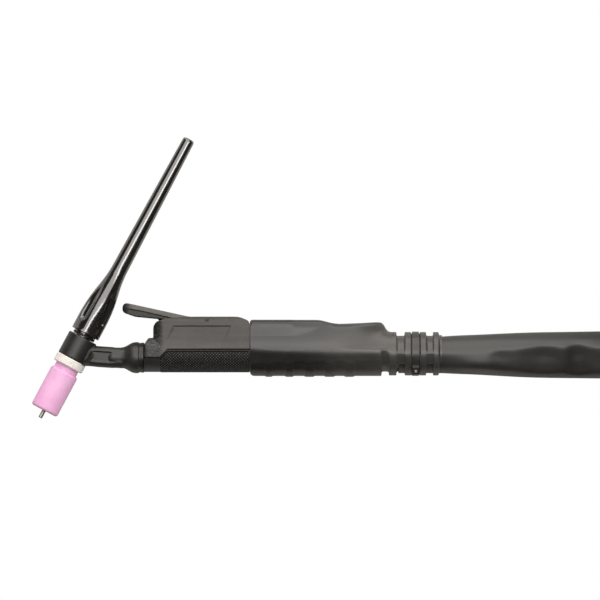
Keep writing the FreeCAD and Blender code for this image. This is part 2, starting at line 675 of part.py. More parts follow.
def neck_nut():
    """Hexagon fitting that joins the neck tube to the power cable."""
    body = hexagon_bar(NUT_ACROSS_FLATS, NUT_X, NUT_X + NUT_LENGTH)
    chamfered = spun([
        (0, NUT_X, 0), (NUT_ACROSS_FLATS / 2, NUT_X, 0), (NUT_ACROSS_FLATS * 0.6, NUT_X + 0.8, 0),
        (NUT_ACROSS_FLATS * 0.6, NUT_X + NUT_LENGTH - 0.8, 0),
        (NUT_ACROSS_FLATS / 2, NUT_X + NUT_LENGTH, 0), (0, NUT_X + NUT_LENGTH, 0),
    ])
    bore = rod(TUBE_RADIUS + RUNNING_FIT, NUT_X - 1, NUT_X + NUT_LENGTH + 1)
    return on_handle(body.common(chamfered).cut(bore))


def power_cable_front():
    """Power and gas cable from the neck fitting to the sheath's mouth."""
    return on_handle(rod(INNER_CABLE_RADIUS, NUT_X + NUT_LENGTH, SHEATH_START_X))


def grip_section(radius, top_y):
    """Half round below the grip's axis, straight walls above it."""
    return [
        (top_y, -radius, 0), (GRIP_AXIS_Y - radius, -radius, radius),
        (GRIP_AXIS_Y - radius, radius, radius), (top_y, radius, 0),
    ]


def grip_shell():
    """Lower half of the handle: a half round trough with a stepped front rim."""
    top = GRIP_TOP_Y + 1
    trough = section_bar(grip_section(GRIP_RADIUS, top), HANDLE_FRONT_X, HANDLE_REAR_X)
    hollow = section_bar(
        grip_section(GRIP_RADIUS - GRIP_WALL, top + 1), HANDLE_FRONT_X + GRIP_FRONT_WALL, HANDLE_REAR_X + 1,
    )
    rim = side_slab([
        (HANDLE_FRONT_X - 1, GRIP_DIP_Y, 0), (DIP_END_X, GRIP_DIP_Y, 0), (RAMP_END_X, GRIP_TOP_Y, 0),
        (HANDLE_REAR_X + 1, GRIP_TOP_Y, 0), (HANDLE_REAR_X + 1, top + 5, 0), (HANDLE_FRONT_X - 1, top + 5, 0),
    ], 2 * GRIP_RADIUS)
    hole_end = HANDLE_FRONT_X + SPIGOT_LENGTH + 1
    front_hole = on_handle(rod(SPIGOT_RADIUS + RUNNING_FIT, HANDLE_FRONT_X - 1, hole_end))
    return trough.cut(hollow).cut(rim).cut(front_hole)


def housing_block():
    """Outside of the switch housing's box, as its three views cut it."""
    low = GRIP_TOP_Y + FACE_GAP
    half = HOUSING_HALF_WIDTH
    cheek_x = NOSE_X + NOSE_LENGTH
    boot_x = BOOT_FRONT_X
    outline = side_slab([
        (NOSE_X, low, 0),
        (NOSE_X, NOSE_TOP_Y, NOSE_TOP_BEND),
        (cheek_x, NOSE_TOP_Y, 0.5),
        (cheek_x + 0.6, NOSE_TOP_Y + CHEEK_STEP, 1.2),
        (cheek_x + 18.0, HOUSING_TOP_Y, 60.0),
        (boot_x - 6.5, HOUSING_TOP_Y, 14.0),
        (boot_x - 0.6, HOUSING_TAIL_Y + 1.6, 2.0),
        (boot_x - 0.4, HOUSING_TAIL_Y, 0),
        (HANDLE_REAR_X, HOUSING_TAIL_Y, 0),
        (HANDLE_REAR_X, low, 0),
    ], 2 * half)
    section = section_bar([
        (low - 1, -half, 0), (HOUSING_TOP_Y, -half, HOUSING_CORNER),
        (HOUSING_TOP_Y, half, HOUSING_CORNER), (low - 1, half, 0),
    ], NOSE_X - 1, HANDLE_REAR_X + 10)
    plan = plan_slab([
        (NOSE_X, -half, NOSE_PLAN_BEND), (NOSE_X, half, NOSE_PLAN_BEND),
        (HANDLE_REAR_X + 10, half, 0), (HANDLE_REAR_X + 10, -half, 0),
    ], low - 1, HOUSING_TOP_Y + 1)
    return outline.common(section).common(plan)


def housing_saddle():
    """Low front of the switch housing that straddles the spigot."""
    low = GRIP_DIP_Y + FACE_GAP
    half = HOUSING_HALF_WIDTH
    outline = side_slab([
        (SADDLE_X, low, 0.8),
        (SADDLE_X, low + SADDLE_FACE_HEIGHT, 1.0),
        (SADDLE_X + SADDLE_SLOPE_LENGTH, SADDLE_TOP_Y, 1.2),
        (RAMP_END_X, SADDLE_TOP_Y, 0),
        (RAMP_END_X, GRIP_TOP_Y + FACE_GAP, 0),
        (DIP_END_X, low, 0),
    ], 2 * half)
    section = section_bar([
        (low - 1, -half, 0), (SADDLE_TOP_Y, -half, SADDLE_CORNER),
        (SADDLE_TOP_Y, half, SADDLE_CORNER), (low - 1, half, 0),
    ], SADDLE_X - 1, RAMP_END_X + 1)
    plan = plan_slab([
        (SADDLE_X, -half, 2.0), (SADDLE_X, half, 2.0),
        (RAMP_END_X + 1, half, 0), (RAMP_END_X + 1, -half, 0),
    ], low - 1, SADDLE_TOP_Y + 1)
    return outline.common(section).common(plan)


def housing_hollow():
    """Room inside the housing for the switch, the wires and the neck's end."""
    half = HOUSING_HALF_WIDTH - HOUSING_WALL
    low = GRIP_DIP_Y - 2
    upper = section_bar([
        (low, -half, 0), (HOUSING_ROOF_Y, -half, 2.0), (HOUSING_ROOF_Y, half, 2.0), (low, half, 0),
    ], NOSE_X + NOSE_WALL, HANDLE_REAR_X + 10)
    roof = SADDLE_TOP_Y - SADDLE_WALL
    lower = section_bar([
        (low, -half, 0), (roof, -half, SADDLE_CORNER - SADDLE_WALL),
        (roof, half, SADDLE_CORNER - SADDLE_WALL), (low, half, 0),
    ], SADDLE_X + SADDLE_WALL, NOSE_X + NOSE_WALL + 1)
    neck = on_handle(rod(SPIGOT_RADIUS + RUNNING_FIT, SADDLE_X - 2, SADDLE_X + 2 * SADDLE_WALL))
    return upper, lower, neck


def lever_slot():
    """Gap between the cheeks that the lever sinks into."""
    half = LEVER_HALF_WIDTH + LEVER_SIDE_GAP
    rear = PIVOT_X + LEVER_BOSS_RADIUS + 2 * SOFT_GAP
    return box_between(
        (NOSE_X - 1, LEVER_SLOT_FLOOR_Y, AXIS_Z - half), (rear, HOUSING_TOP_Y + 1, AXIS_Z + half),
    )


def side_panels():
    """Shallow slanted recess in each flat side of the housing."""
    corners = [
        (HANDLE_FRONT_X + PANEL_TOP_START, PANEL_TOP_Y, PANEL_CORNER),
        (HANDLE_FRONT_X + PANEL_TOP_START + PANEL_TOP_LENGTH, PANEL_TOP_Y, PANEL_CORNER),
        (HANDLE_FRONT_X + PANEL_BOTTOM_START + PANEL_BOTTOM_LENGTH, PANEL_BOTTOM_Y, PANEL_CORNER),
        (HANDLE_FRONT_X + PANEL_BOTTOM_START, PANEL_BOTTOM_Y, PANEL_CORNER),
    ]
    floor = HOUSING_HALF_WIDTH - PANEL_DEPTH
    return side_slab(corners, 2 * HOUSING_HALF_WIDTH).cut(side_slab(corners, floor))


def screw_places():
    """X and Y of the two screws through the microswitch."""
    middle = SWITCH_X + SWITCH_LENGTH / 2
    height = SWITCH_BOTTOM_Y + SWITCH_SCREW_HEIGHT
    return [(middle + side * SWITCH_SCREW_SPACING / 2, height) for side in (-1, 1)]


def spring_seat():
    """Shelf and peg that the lever's spring stands on, across the nose."""
    half = HOUSING_HALF_WIDTH - HOUSING_WALL
    x = HANDLE_FRONT_X + SPRING_FROM_FRONT
    reach = SPRING_COIL_RADIUS + SPRING_WIRE_RADIUS + SOFT_GAP
    shelf_start = (NOSE_X + NOSE_WALL / 2, SPRING_SEAT_Y - SPRING_SHELF, AXIS_Z - half)
    shelf = box_between(shelf_start, (x + reach, SPRING_SEAT_Y, AXIS_Z + half))
    peg_radius = SPRING_COIL_RADIUS - SPRING_WIRE_RADIUS - SOFT_GAP
    peg = Part.makeCylinder(peg_radius, 2.5, vec(x, SPRING_SEAT_Y, AXIS_Z), vec(0, 1, 0))
    return shelf.fuse(peg)


def switch_housing():
    """Upper half of the handle, with its cheeks, panels, bosses and lever slot."""
    body = fused([housing_block(), housing_saddle()])
    for hollow in housing_hollow():
        body = body.cut(hollow)
    body = body.cut(lever_slot()).cut(side_panels())
    wall_z = AXIS_Z - HOUSING_HALF_WIDTH + HOUSING_WALL / 2
    boss_end = AXIS_Z - SWITCH_THICKNESS / 2
    depth = boss_end - wall_z
    bosses = [Part.makeCylinder(SWITCH_BOSS_RADIUS, depth, vec(x, y, wall_z)) for x, y in screw_places()]
    body = fused([body, spring_seat()] + bosses)
    for x, y in screw_places():
        thread = Part.makeCylinder(SWITCH_SCREW_RADIUS + RUNNING_FIT, 5.0, vec(x, y, boss_end - 4.5))
        body = body.cut(thread)
    return body.cut(pin_hole(2 * HOUSING_HALF_WIDTH))


def pin_hole(reach):
    """Hole for the lever's pin, with its clearance, out to a reach either side of the middle plane."""
    return Part.makeCylinder(PIN_RADIUS + RUNNING_FIT, 2 * reach, vec(PIVOT_X, PIVOT_Y, AXIS_Z - reach))


def lever_top(x):
    """Height of the lever's straight back at a place along the handle."""
    return HOUSING_TOP_Y + LEVER_DROP_SLOPE * (PIVOT_X - 10.7 - x)


def lever():
    """Switch lever: an overhanging top plate, two skirts, a pivot boss and a switch pad."""
    tip = PIVOT_X - LEVER_FRONT
    boss = LEVER_BOSS_RADIUS
    rear = PIVOT_X + boss
    flat_x = PIVOT_X - 10.7
    plate_y = lever_top(tip + 12.0)
    outline = [
        (tip, 25.0, 2.6),
        (tip, 30.9, 2.6),
        (tip + 7.0, lever_top(tip + 9.0), 16.0),
        (flat_x, HOUSING_TOP_Y, 20.0),
        (rear, HOUSING_TOP_Y - PIN_RADIUS / 4, boss - 0.3),
        (rear, PIVOT_Y - boss, boss - 0.3),
        (tip + 32.0, PIVOT_Y - boss + 0.4, 3.0),
        (tip + 24.0, 20.8, 8.0),
        (tip + 7.5, 22.4, 8.0),
    ]
    body = side_slab(outline, LEVER_HALF_WIDTH)
    under = [
        (tip - 1, plate_y - LEVER_PLATE - 2.9, 0),
        (tip + 3.2, plate_y - LEVER_PLATE - 2.9, 0),
        (tip + 3.6, plate_y - LEVER_PLATE + 1.4, 1.5),
        (tip + 12.0, plate_y - LEVER_PLATE, 6.0),
        (flat_x, HOUSING_TOP_Y - LEVER_PLATE, 0),
        (rear + 1, HOUSING_TOP_Y - LEVER_PLATE, 0),
        (rear + 1, PIVOT_Y - 3 * boss, 0),
        (tip - 1, PIVOT_Y - 3 * boss, 0),
    ]
    skirt_half = LEVER_HALF_WIDTH - LEVER_PLATE_OVERHANG
    sides = side_slab(under, 2 * LEVER_HALF_WIDTH).cut(side_slab(under, skirt_half))
    hollow = side_slab([
        (tip + 5.0, plate_y - LEVER_PLATE + 0.6, 1.5),
        (tip + 12.0, plate_y - LEVER_PLATE, 6.0),
        (flat_x, HOUSING_TOP_Y - LEVER_PLATE, 0),
        (PIVOT_X - boss - 1.0, HOUSING_TOP_Y - LEVER_PLATE, 0),
        (PIVOT_X - boss - 1.0, PIVOT_Y - 3 * boss, 0),
        (tip + 5.0, PIVOT_Y - 3 * boss, 0),
    ], skirt_half - LEVER_SKIRT)
    plan = plan_slab([
        (tip, -LEVER_HALF_WIDTH, LEVER_TIP_BEND), (tip, LEVER_HALF_WIDTH, LEVER_TIP_BEND),
        (rear + 1, LEVER_HALF_WIDTH, 0), (rear + 1, -LEVER_HALF_WIDTH, 0),
    ], 0, 2 * HOUSING_TOP_Y)
    body = body.cut(sides).cut(hollow).common(plan)
    pad_y = SWITCH_TOP_Y + PLUNGER_PROUD + SOFT_GAP
    pad_end = (PLUNGER_X + 2.0, HOUSING_TOP_Y - LEVER_PLATE + 1, AXIS_Z + 2.2)
    pad = box_between((PLUNGER_X - 2.0, pad_y, AXIS_Z - 2.2), pad_end)
    body = fused([body, pad])
    return body.cut(pin_hole(2 * LEVER_HALF_WIDTH))


def lever_pin():
    half = HOUSING_HALF_WIDTH - PIN_SUNK
    return Part.makeCylinder(PIN_RADIUS, 2 * half, vec(PIVOT_X, PIVOT_Y, AXIS_Z - half))


def biarc(start, start_way, end, end_way):
    """Two arcs, smooth where they join, from one point and direction to another."""
    chord = end - start
    ways = start_way + end_way
    spread = 2 * (1 - start_way.dot(end_way))
    if spread < 1e-9:
        reach = chord.dot(chord) / (4 * chord.dot(end_way))
    else:
        lean = chord.dot(ways)
        reach = (-lean + math.sqrt(lean * lean + spread * chord.dot(chord))) / spread
    first = start + start_way * reach
    second = end - end_way * reach
    joint = (first + second) * 0.5
    edges = []
    for a, corner, b in ((start, first, joint), (joint, second, end)):
        half_chord = (b - a).Length / 2
        middle = (a + b) * 0.5
        bend = (corner - a).getAngle(b - a)
        rise = half_chord * math.tan(bend / 2)
        edges.append(Part.Arc(a, middle + (corner - middle).normalize() * rise, b).toShape())
    return edges


def piped(path, radius):
    """Round wire or tube along a path, in one unbroken solid."""
    first = path.Edges[0]
    start = path.OrderedVertexes[0].Point
    way = first.tangentAt(first.FirstParameter)
    ring = Part.Wire(Part.Circle(start, way, radius).toShape())
    return path.makePipeShell([ring], True, False)


def spring_point(turn, height):
    angle = 2 * math.pi * turn
    x = HANDLE_FRONT_X + SPRING_FROM_FRONT
    return vec(
        x + SPRING_COIL_RADIUS * math.cos(angle),
        SPRING_SEAT_Y + SPRING_WIRE_RADIUS + FACE_GAP + height * turn / SPRING_TURNS,
        AXIS_Z + SPRING_COIL_RADIUS * math.sin(angle),
    )


def lever_spring():
    """Light compression spring between the shelf in the nose and the lever."""
    x = HANDLE_FRONT_X + SPRING_FROM_FRONT
    top = lever_top(x) - LEVER_PLATE - SOFT_GAP
    height = top - SPRING_SEAT_Y - 2 * SPRING_WIRE_RADIUS - FACE_GAP - 0.6
    edges = []
    quarters = 4 * SPRING_TURNS
    for i in range(quarters):
        a, b = i / 4, (i + 1) / 4
        ways = []
        for turn in (a, b):
            angle = 2 * math.pi * turn
            rise = height / SPRING_TURNS / (2 * math.pi)
            way = vec(-SPRING_COIL_RADIUS * math.sin(angle), rise, SPRING_COIL_RADIUS * math.cos(angle))
            ways.append(way.normalize())
        edges += biarc(spring_point(a, height), ways[0], spring_point(b, height), ways[1])
    return piped(Part.Wire(edges), SPRING_WIRE_RADIUS)


def microswitch_body():
    """Small snap-action switch with its two mounting holes and the plunger's well."""
    low_z = AXIS_Z - SWITCH_THICKNESS / 2
    high_z = AXIS_Z + SWITCH_THICKNESS / 2
    rear = SWITCH_X + SWITCH_LENGTH
    block = box_between((SWITCH_X, SWITCH_BOTTOM_Y, low_z), (rear, SWITCH_TOP_Y, high_z))
    block = block.makeChamfer(SWITCH_EDGE, [e for e in block.Edges if abs(e.tangentAt(0).z) > 0.9])
    for x, y in screw_places():
        radius = SWITCH_SCREW_RADIUS + RUNNING_FIT
        block = block.cut(Part.makeCylinder(radius, 2 * SWITCH_THICKNESS, vec(x, y, low_z - 1)))
    well = Part.makeCylinder(
        PLUNGER_RADIUS + RUNNING_FIT, PLUNGER_SUNK + 2,
        vec(PLUNGER_X, SWITCH_TOP_Y - PLUNGER_SUNK - 1.2, AXIS_Z), vec(0, 1, 0),
    )
    return block.cut(well)


def microswitch_plunger():
    foot = SWITCH_TOP_Y - PLUNGER_SUNK
    length = PLUNGER_SUNK + PLUNGER_PROUD
    pin = Part.makeCylinder(PLUNGER_RADIUS, length, vec(PLUNGER_X, foot, AXIS_Z), vec(0, 1, 0))
    crown = [edge for edge in pin.Edges if abs(edge.CenterOfMass.y - SWITCH_TOP_Y - PLUNGER_PROUD) < 0.01]
    return pin.makeFillet(PLUNGER_RADIUS / 2, crown)


def terminal_places():
    """Z of each terminal blade and wire, either side of the middle plane."""
    return [AXIS_Z - TERMINAL_SPACING / 2, AXIS_Z + TERMINAL_SPACING / 2]


def microswitch_terminals():
    y = SWITCH_BOTTOM_Y + TERMINAL_HEIGHT
    start = SWITCH_X + SWITCH_LENGTH
    blades = []
    for z in terminal_places():
        low = (start, y - TERMINAL_WIDTH / 2, z - TERMINAL_THICKNESS / 2)
        high = (start + TERMINAL_LENGTH, y + TERMINAL_WIDTH / 2, z + TERMINAL_THICKNESS / 2)
        blade = box_between(low, high)
        blade = blade.cut(Part.makeCylinder(0.6, 2.0, vec(start + TERMINAL_LENGTH - 1.4, y, z - 1.0)))
        blades.append(blade)
    return Part.makeCompound(blades)


def microswitch_screws():
    """Two screws through the switch into the housing's bosses."""
    face = AXIS_Z + SWITCH_THICKNESS / 2
    screws = []
    for x, y in screw_places():
        shank_start = AXIS_Z - SWITCH_THICKNESS / 2 - 4.0
        shank = Part.makeCylinder(SWITCH_SCREW_RADIUS, face - shank_start, vec(x, y, shank_start))
        head = Part.makeCylinder(SWITCH_SCREW_HEAD_RADIUS, SWITCH_SCREW_HEAD, vec(x, y, face))
        slot = box_between(
            (x - SWITCH_SCREW_HEAD_RADIUS, y - 0.25, face + SWITCH_SCREW_HEAD - 0.5),
            (x + SWITCH_SCREW_HEAD_RADIUS, y + 0.25, face + SWITCH_SCREW_HEAD + 1),
        )
        screws.append(shank.fuse(head).cut(slot).removeSplitter())
    return Part.makeCompound(screws)


def switch_wires():
    """Two wires from the switch's terminals to the sheath's mouth."""
    y = SWITCH_BOTTOM_Y + TERMINAL_HEIGHT
    start = SWITCH_X + SWITCH_LENGTH + TERMINAL_LENGTH
    length = SHEATH_START_X - start
    along = vec(1, 0, 0)
    wires = [Part.makeCylinder(WIRE_RADIUS, length, vec(start, y, z), along) for z in terminal_places()]
    return Part.makeCompound(wires)


def boot_section(top_y, corner):
    """Flat sides, rounded top corners and a deep bottom that is nearly an ellipse."""
    half = BOOT_HALF_WIDTH
    bottom = BOOT_AXIS_Y - half
    side = BOOT_SIDE_BEND_Y
    foot = BOOT_BOTTOM_HALF_WIDTH
    return [
        (bottom, -foot, BOOT_BOTTOM_BEND), (side, -half, BOOT_SIDE_BEND), (top_y, -half, corner),
        (top_y, half, corner), (side, half, BOOT_SIDE_BEND), (bottom, foot, BOOT_BOTTOM_BEND),
    ]


def boot_upper():
    """Deep front of the boot, its dip and the hump, lofted through sections along the boot."""
    low = BOOT_AXIS_Y
    rings = []
    for station, top_y, half, corner in BOOT_CROWN:
        x = BOOT_FRONT_X + station
        corners = [(low, -half, 0), (top_y, -half, corner), (top_y, half, corner), (low, half, 0)]
        rings.append(rounded(corners, lambda u, v, x=x: vec(x, u, AXIS_Z + v)))
    return Part.makeLoft(rings, True, True)


def boot_lower():
    """Round bottomed lower part, running back to the bend relief."""
    end = BOOT_FRONT_X + RELIEF_START
    bar = section_bar(boot_section(BOOT_SHOULDER_Y, BOOT_CORNER), BOOT_FRONT_X, end)
    outline = side_slab([
        (BOOT_FRONT_X, BOOT_AXIS_Y - BOOT_HALF_WIDTH, BOOT_LIP_BEND), (BOOT_FRONT_X, BOOT_SHOULDER_Y + 1, 0),
        (end, BOOT_SHOULDER_Y + 1, 0), (end, BOOT_AXIS_Y - BOOT_HALF_WIDTH, 0),
    ], 2 * BOOT_HALF_WIDTH)
    wide = 2 * BOOT_HALF_WIDTH
    shoulder = RELIEF_RADIUS + BOOT_SHOULDER_BULGE
    round_end = on_handle(spun([
        (0, BOOT_FRONT_X - 1, 0), (wide, BOOT_FRONT_X - 1, 0), (wide, end - 2 * BOOT_SHOULDER_TAPER, 0),
        (shoulder, end - BOOT_SHOULDER_TAPER, 30.0), (RELIEF_RADIUS, end, 0), (0, end, 0),
    ]), RELIEF_AXIS_Y)
    return bar.common(outline).common(round_end)


def boot_rib(start, width):
    """Grip rib under the boot that fades out up its sides."""
    ridge = section_bar(boot_section(BOOT_SHOULDER_Y, BOOT_CORNER), start, start + width)
    return ridge.translated(vec(0, -RIB_HEIGHT, 0))


def notch(start, width, upper):
    """One cut of the bend relief, deepest above or below and fading out at the sides."""
    shift = -NOTCH_DEPTH if upper else NOTCH_DEPTH
    wide = 2 * RELIEF_RADIUS
    fade = RELIEF_AXIS_Y + shift / 2
    low, high = (fade, wide) if upper else (-wide, fade)
    outside = box_between((start, low, AXIS_Z - wide), (start + width, high, AXIS_Z + wide))
    return outside.cut(on_handle(rod(RELIEF_RADIUS, start - 1, start + width + 1), RELIEF_AXIS_Y + shift))


def rear_boot():
    """Rubber boot: pocket for the handle's end, ribs, hump and notched bend relief."""
    relief = on_handle(rod(RELIEF_RADIUS, BOOT_FRONT_X + RELIEF_START - 1, BOOT_REAR_X), RELIEF_AXIS_Y)
    ribs = [boot_rib(BOOT_FRONT_X + start, width) for start, width in zip(RIB_STARTS, RIB_WIDTHS)]
    body = fused([boot_lower(), boot_upper(), relief] + ribs)
    gap = BOOT_POCKET_GAP
    handle_end = grip_section(GRIP_RADIUS + gap, HOUSING_TAIL_Y + gap)
    pocket = section_bar(handle_end, BOOT_FRONT_X - 1, HANDLE_REAR_X + gap)
    core = on_handle(rod(BOOT_CORE_RADIUS, HANDLE_REAR_X, SHEATH_START_X + 1), 0)
    mouth = on_handle(rod(SHEATH_FRONT_RADIUS + FACE_GAP, SHEATH_START_X, BOOT_REAR_X + 1), SHEATH_AXIS_Y)
    body = body.cut(pocket).cut(core).cut(mouth)
    for start, width in NOTCH_LOWER:
        body = body.cut(notch(BOOT_FRONT_X + start, width, False))
    for start, width in NOTCH_UPPER:
        body = body.cut(notch(BOOT_FRONT_X + start, width, True))
    tie_x = BOOT_FRONT_X + TIE_FROM_FRONT
    groove_floor = RELIEF_RADIUS + TIE_PROUD - TIE_THICKNESS
    groove = tube(2 * RELIEF_RADIUS, groove_floor, tie_x - TIE_SIDE_GAP, tie_x + TIE_WIDTH + TIE_SIDE_GAP)
    return body.cut(on_handle(groove, RELIEF_AXIS_Y)).cut(tie_head(SOFT_GAP))


def tie_head(margin):
    """Locking head of the cable tie, on the lower front of the relief, grown by a margin."""
    tie_x = BOOT_FRONT_X + TIE_FROM_FRONT
    low = RELIEF_RADIUS + TIE_PROUD - TIE_THICKNESS
    block = Part.makeBox(
        TIE_HEAD_LENGTH + 2 * margin, TIE_HEAD_WIDTH + 2 * margin, TIE_HEAD_HEIGHT + 2 * margin,
        vec(-margin + (TIE_WIDTH - TIE_HEAD_LENGTH) / 2, -TIE_HEAD_WIDTH / 2 - margin, low - margin),
    )
    lean = math.radians(TIE_HEAD_ANGLE)
    out = vec(0, -math.sin(lean), math.cos(lean))
    return aimed(block, vec(tie_x, RELIEF_AXIS_Y, AXIS_Z), vec(1, 0, 0), out)


def boot_tie():
    """Cable tie that clamps the boot on the sheath."""
    tie_x = BOOT_FRONT_X + TIE_FROM_FRONT
    low = RELIEF_RADIUS + TIE_PROUD - TIE_THICKNESS + RUNNING_FIT
    band = on_handle(tube(RELIEF_RADIUS + TIE_PROUD, low, tie_x, tie_x + TIE_WIDTH), RELIEF_AXIS_Y)
    head = tie_head(0).cut(on_handle(rod(low, tie_x - 5, tie_x + TIE_WIDTH + 5), RELIEF_AXIS_Y))
    return fused([band, head])


def sheath_run():
    """Cable sheath from the boot to the coil, fuller where the clamp lets it go."""
    full_x = BOOT_REAR_X + SHEATH_TAPER_LENGTH
    return on_handle(spun([
        (0, SHEATH_START_X, 0), (SHEATH_FRONT_RADIUS, SHEATH_START_X, 0),
        (SHEATH_FRONT_RADIUS, BOOT_REAR_X, 0),
        (SHEATH_RADIUS, full_x, SHEATH_TAPER_BEND), (SHEATH_RADIUS, COIL_START_X, 0), (0, COIL_START_X, 0),
    ]), SHEATH_AXIS_Y)


def coil_state(turn):
    """Radius and height of the coiled sheath after some turns, and how fast each changes per turn."""
    radius = COIL_OUTER_RADIUS
    height = AXIS_Z
    for turns, inward, up in COIL_MOVES:
        if turn <= turns:
            done = (1 - math.cos(math.pi * turn / turns)) / 2
            rate = math.sin(math.pi * turn / turns) * math.pi / (2 * turns)
            step = -COIL_PITCH * inward
            rise = COIL_LAYER * up
            return radius + step * done, height + rise * done, step * rate, rise * rate
        turn -= turns
        radius -= COIL_PITCH * inward
        height += COIL_LAYER * up
    return radius, height, 0.0, 0.0


def coil_place(turn):
    radius, height = coil_state(turn)[:2]
    angle = 2 * math.pi * turn - math.pi / 2
    return vec(COIL_CENTRE_X + radius * math.cos(angle), COIL_CENTRE_Y + radius * math.sin(angle), height)


def coil_way(turn):
    radius, height, drift, climb = coil_state(turn)
    angle = 2 * math.pi * turn - math.pi / 2
    around = vec(-math.sin(angle), math.cos(angle), 0)
    outward = vec(math.cos(angle), math.sin(angle), 0)
    return (around * (2 * math.pi * radius) + outward * drift + vec(0, 0, climb)).normalize()


def coil_turns():
    return sum(move[0] for move in COIL_MOVES)


def coil_path():
    """Straight lead-in, short biarcs along each move, and a straight lead-out."""
    start = coil_place(0)
    edges = [Part.LineSegment(start - vec(COIL_LEAD_IN, 0, 0), start).toShape()]
    reached = 0.0
    for turns, inward, up in COIL_MOVES:
        count = math.ceil(turns / COIL_LONGEST_STEP)
        for i in range(count):
            a = reached + turns * i / count
            b = reached + turns * (i + 1) / count
            edges += biarc(coil_place(a), coil_way(a), coil_place(b), coil_way(b))
        reached += turns
    end = coil_place(reached)
    edges.append(Part.LineSegment(end, end + coil_way(reached) * COIL_LEAD_OUT).toShape())
    return Part.Wire(edges)


def least_gap(path, diameter):
    """Least distance between a wound tube's turns, from points along its path."""
    points = path.discretize(Distance=4.0)
    apart = int(1.5 * diameter / 4.0)
    least = min(a.distanceToPoint(b) for i, a in enumerate(points) for b in points[i + apart:])
    return least - diameter


def sheath_coil():
    """The sheath's put-away length, wound two rings wide and three layers high."""
    path = coil_path()
    coil = piped(path, SHEATH_RADIUS)
    print("coil length %.0f mm, least gap %.2f mm" % (path.Length, least_gap(path, 2 * SHEATH_RADIUS)))
    print("coil volume ratio %.4f" % (coil.Volume / (path.Length * math.pi * SHEATH_RADIUS ** 2)))
    return coil


def sheath_end_collar():
    """Moulded collar over the sheath's end, where the two tails come out."""
    last = coil_turns()
    way = coil_way(last)
    start = coil_place(last) + way * (COIL_LEAD_OUT - COLLAR_OVERLAP)
    body = spun([
        (0, 0, 0), (COLLAR_RADIUS, 0, 0.5), (COLLAR_RADIUS, COLLAR_OVERLAP + 2, 4.0),
        (COLLAR_TIP_RADIUS, COLLAR_LENGTH, 1.0), (0, COLLAR_LENGTH, 0),
    ])
    body = body.cut(rod(SHEATH_RADIUS + FACE_GAP, -1, COLLAR_OVERLAP))
    return aimed(body, start, vec(0, 0, 1), way)


def cord(name, route, radius):
    """Tube along a route of straight runs joined by arcs as large as the runs allow."""
    points = [vec(*p) for p in route]
    edges = []
    here = points[0]
    radii = []
    for i in range(1, len(points) - 1):
        back = points[i - 1] - points[i]
        ahead = points[i + 1] - points[i]
        run = min(back.Length, ahead.Length)
        turn = math.pi - back.getAngle(ahead)
        reach = 0.45 * run
        bend = reach / math.tan(turn / 2)
        radii.append(bend)
        start = points[i] + back.normalize() * reach
        end = points[i] + ahead.normalize() * reach
        inward = (back + ahead).normalize()
        middle = points[i] + inward * (bend / math.cos(turn / 2) - bend)
        edges.append(Part.LineSegment(here, start).toShape())
        edges.append(Part.Arc(start, middle, end).toShape())
        here = end
    edges.append(Part.LineSegment(here, points[-1]).toShape())
    path = Part.Wire(edges)
    solid = piped(path, radius)
    print("%s length %.0f mm, radii %s, volume ratio %.4f" % (
        name, path.Length, [round(r) for r in radii], solid.Volume / (path.Length * math.pi * radius ** 2)))
    return solid


def on_route_end(shape, route):
    """Puts a turned shape at the end of a route, along its last run."""
    end = vec(*route[-1])
    way = (end - vec(*route[-2])).normalize()
    return aimed(shape, end, vec(0, 0, 1), way)


def power_plug_sleeve():
    """Rubber sleeve of the power plug, waisted for the hand."""
    tail = PLUG_SLEEVE_TAIL_RADIUS
    full = PLUG_SLEEVE_RADIUS
    body = spun([
        (0, 0, 0), (tail, 0, 1.0), (tail + 0.8, PLUG_SLEEVE_TAIL_LENGTH, 12.0),
        (full - PLUG_SLEEVE_RIDGE, PLUG_SLEEVE_TAIL_LENGTH + 8.0, 10.0),
        (full - PLUG_SLEEVE_RIDGE, PLUG_SLEEVE_LENGTH - 12.0, 0), (full, PLUG_SLEEVE_LENGTH - 11.0, 0.8),
        (full, PLUG_SLEEVE_LENGTH, 1.0), (0, PLUG_SLEEVE_LENGTH, 0),
    ])
    root = rod(
        PLUG_PIN_ROOT_RADIUS + RUNNING_FIT, PLUG_SLEEVE_LENGTH - PLUG_PIN_ROOT, PLUG_SLEEVE_LENGTH + 1,
    )
    return on_route_end(body.cut(root), POWER_ROUTE)


def power_plug_pin():
    """Brass plug pin with a gas bore."""
    start = PLUG_SLEEVE_LENGTH - PLUG_PIN_ROOT
    face = PLUG_SLEEVE_LENGTH + RUNNING_FIT
    end = PLUG_SLEEVE_LENGTH + PLUG_PIN_LENGTH
    body = spun([
        (0, start, 0), (PLUG_PIN_ROOT_RADIUS, start, 0), (PLUG_PIN_ROOT_RADIUS, face, 0),
        (PLUG_PIN_RADIUS, face, 0), (PLUG_PIN_RADIUS, end - PLUG_PIN_CHAMFER, 0),
        (PLUG_PIN_RADIUS - PLUG_PIN_CHAMFER, end, 0), (0, end, 0),
    ])
    bore = rod(PLUG_PIN_BORE_RADIUS, end - PLUG_PIN_BORE_DEPTH, end + 1)
    return on_route_end(body.cut(bore), POWER_ROUTE)


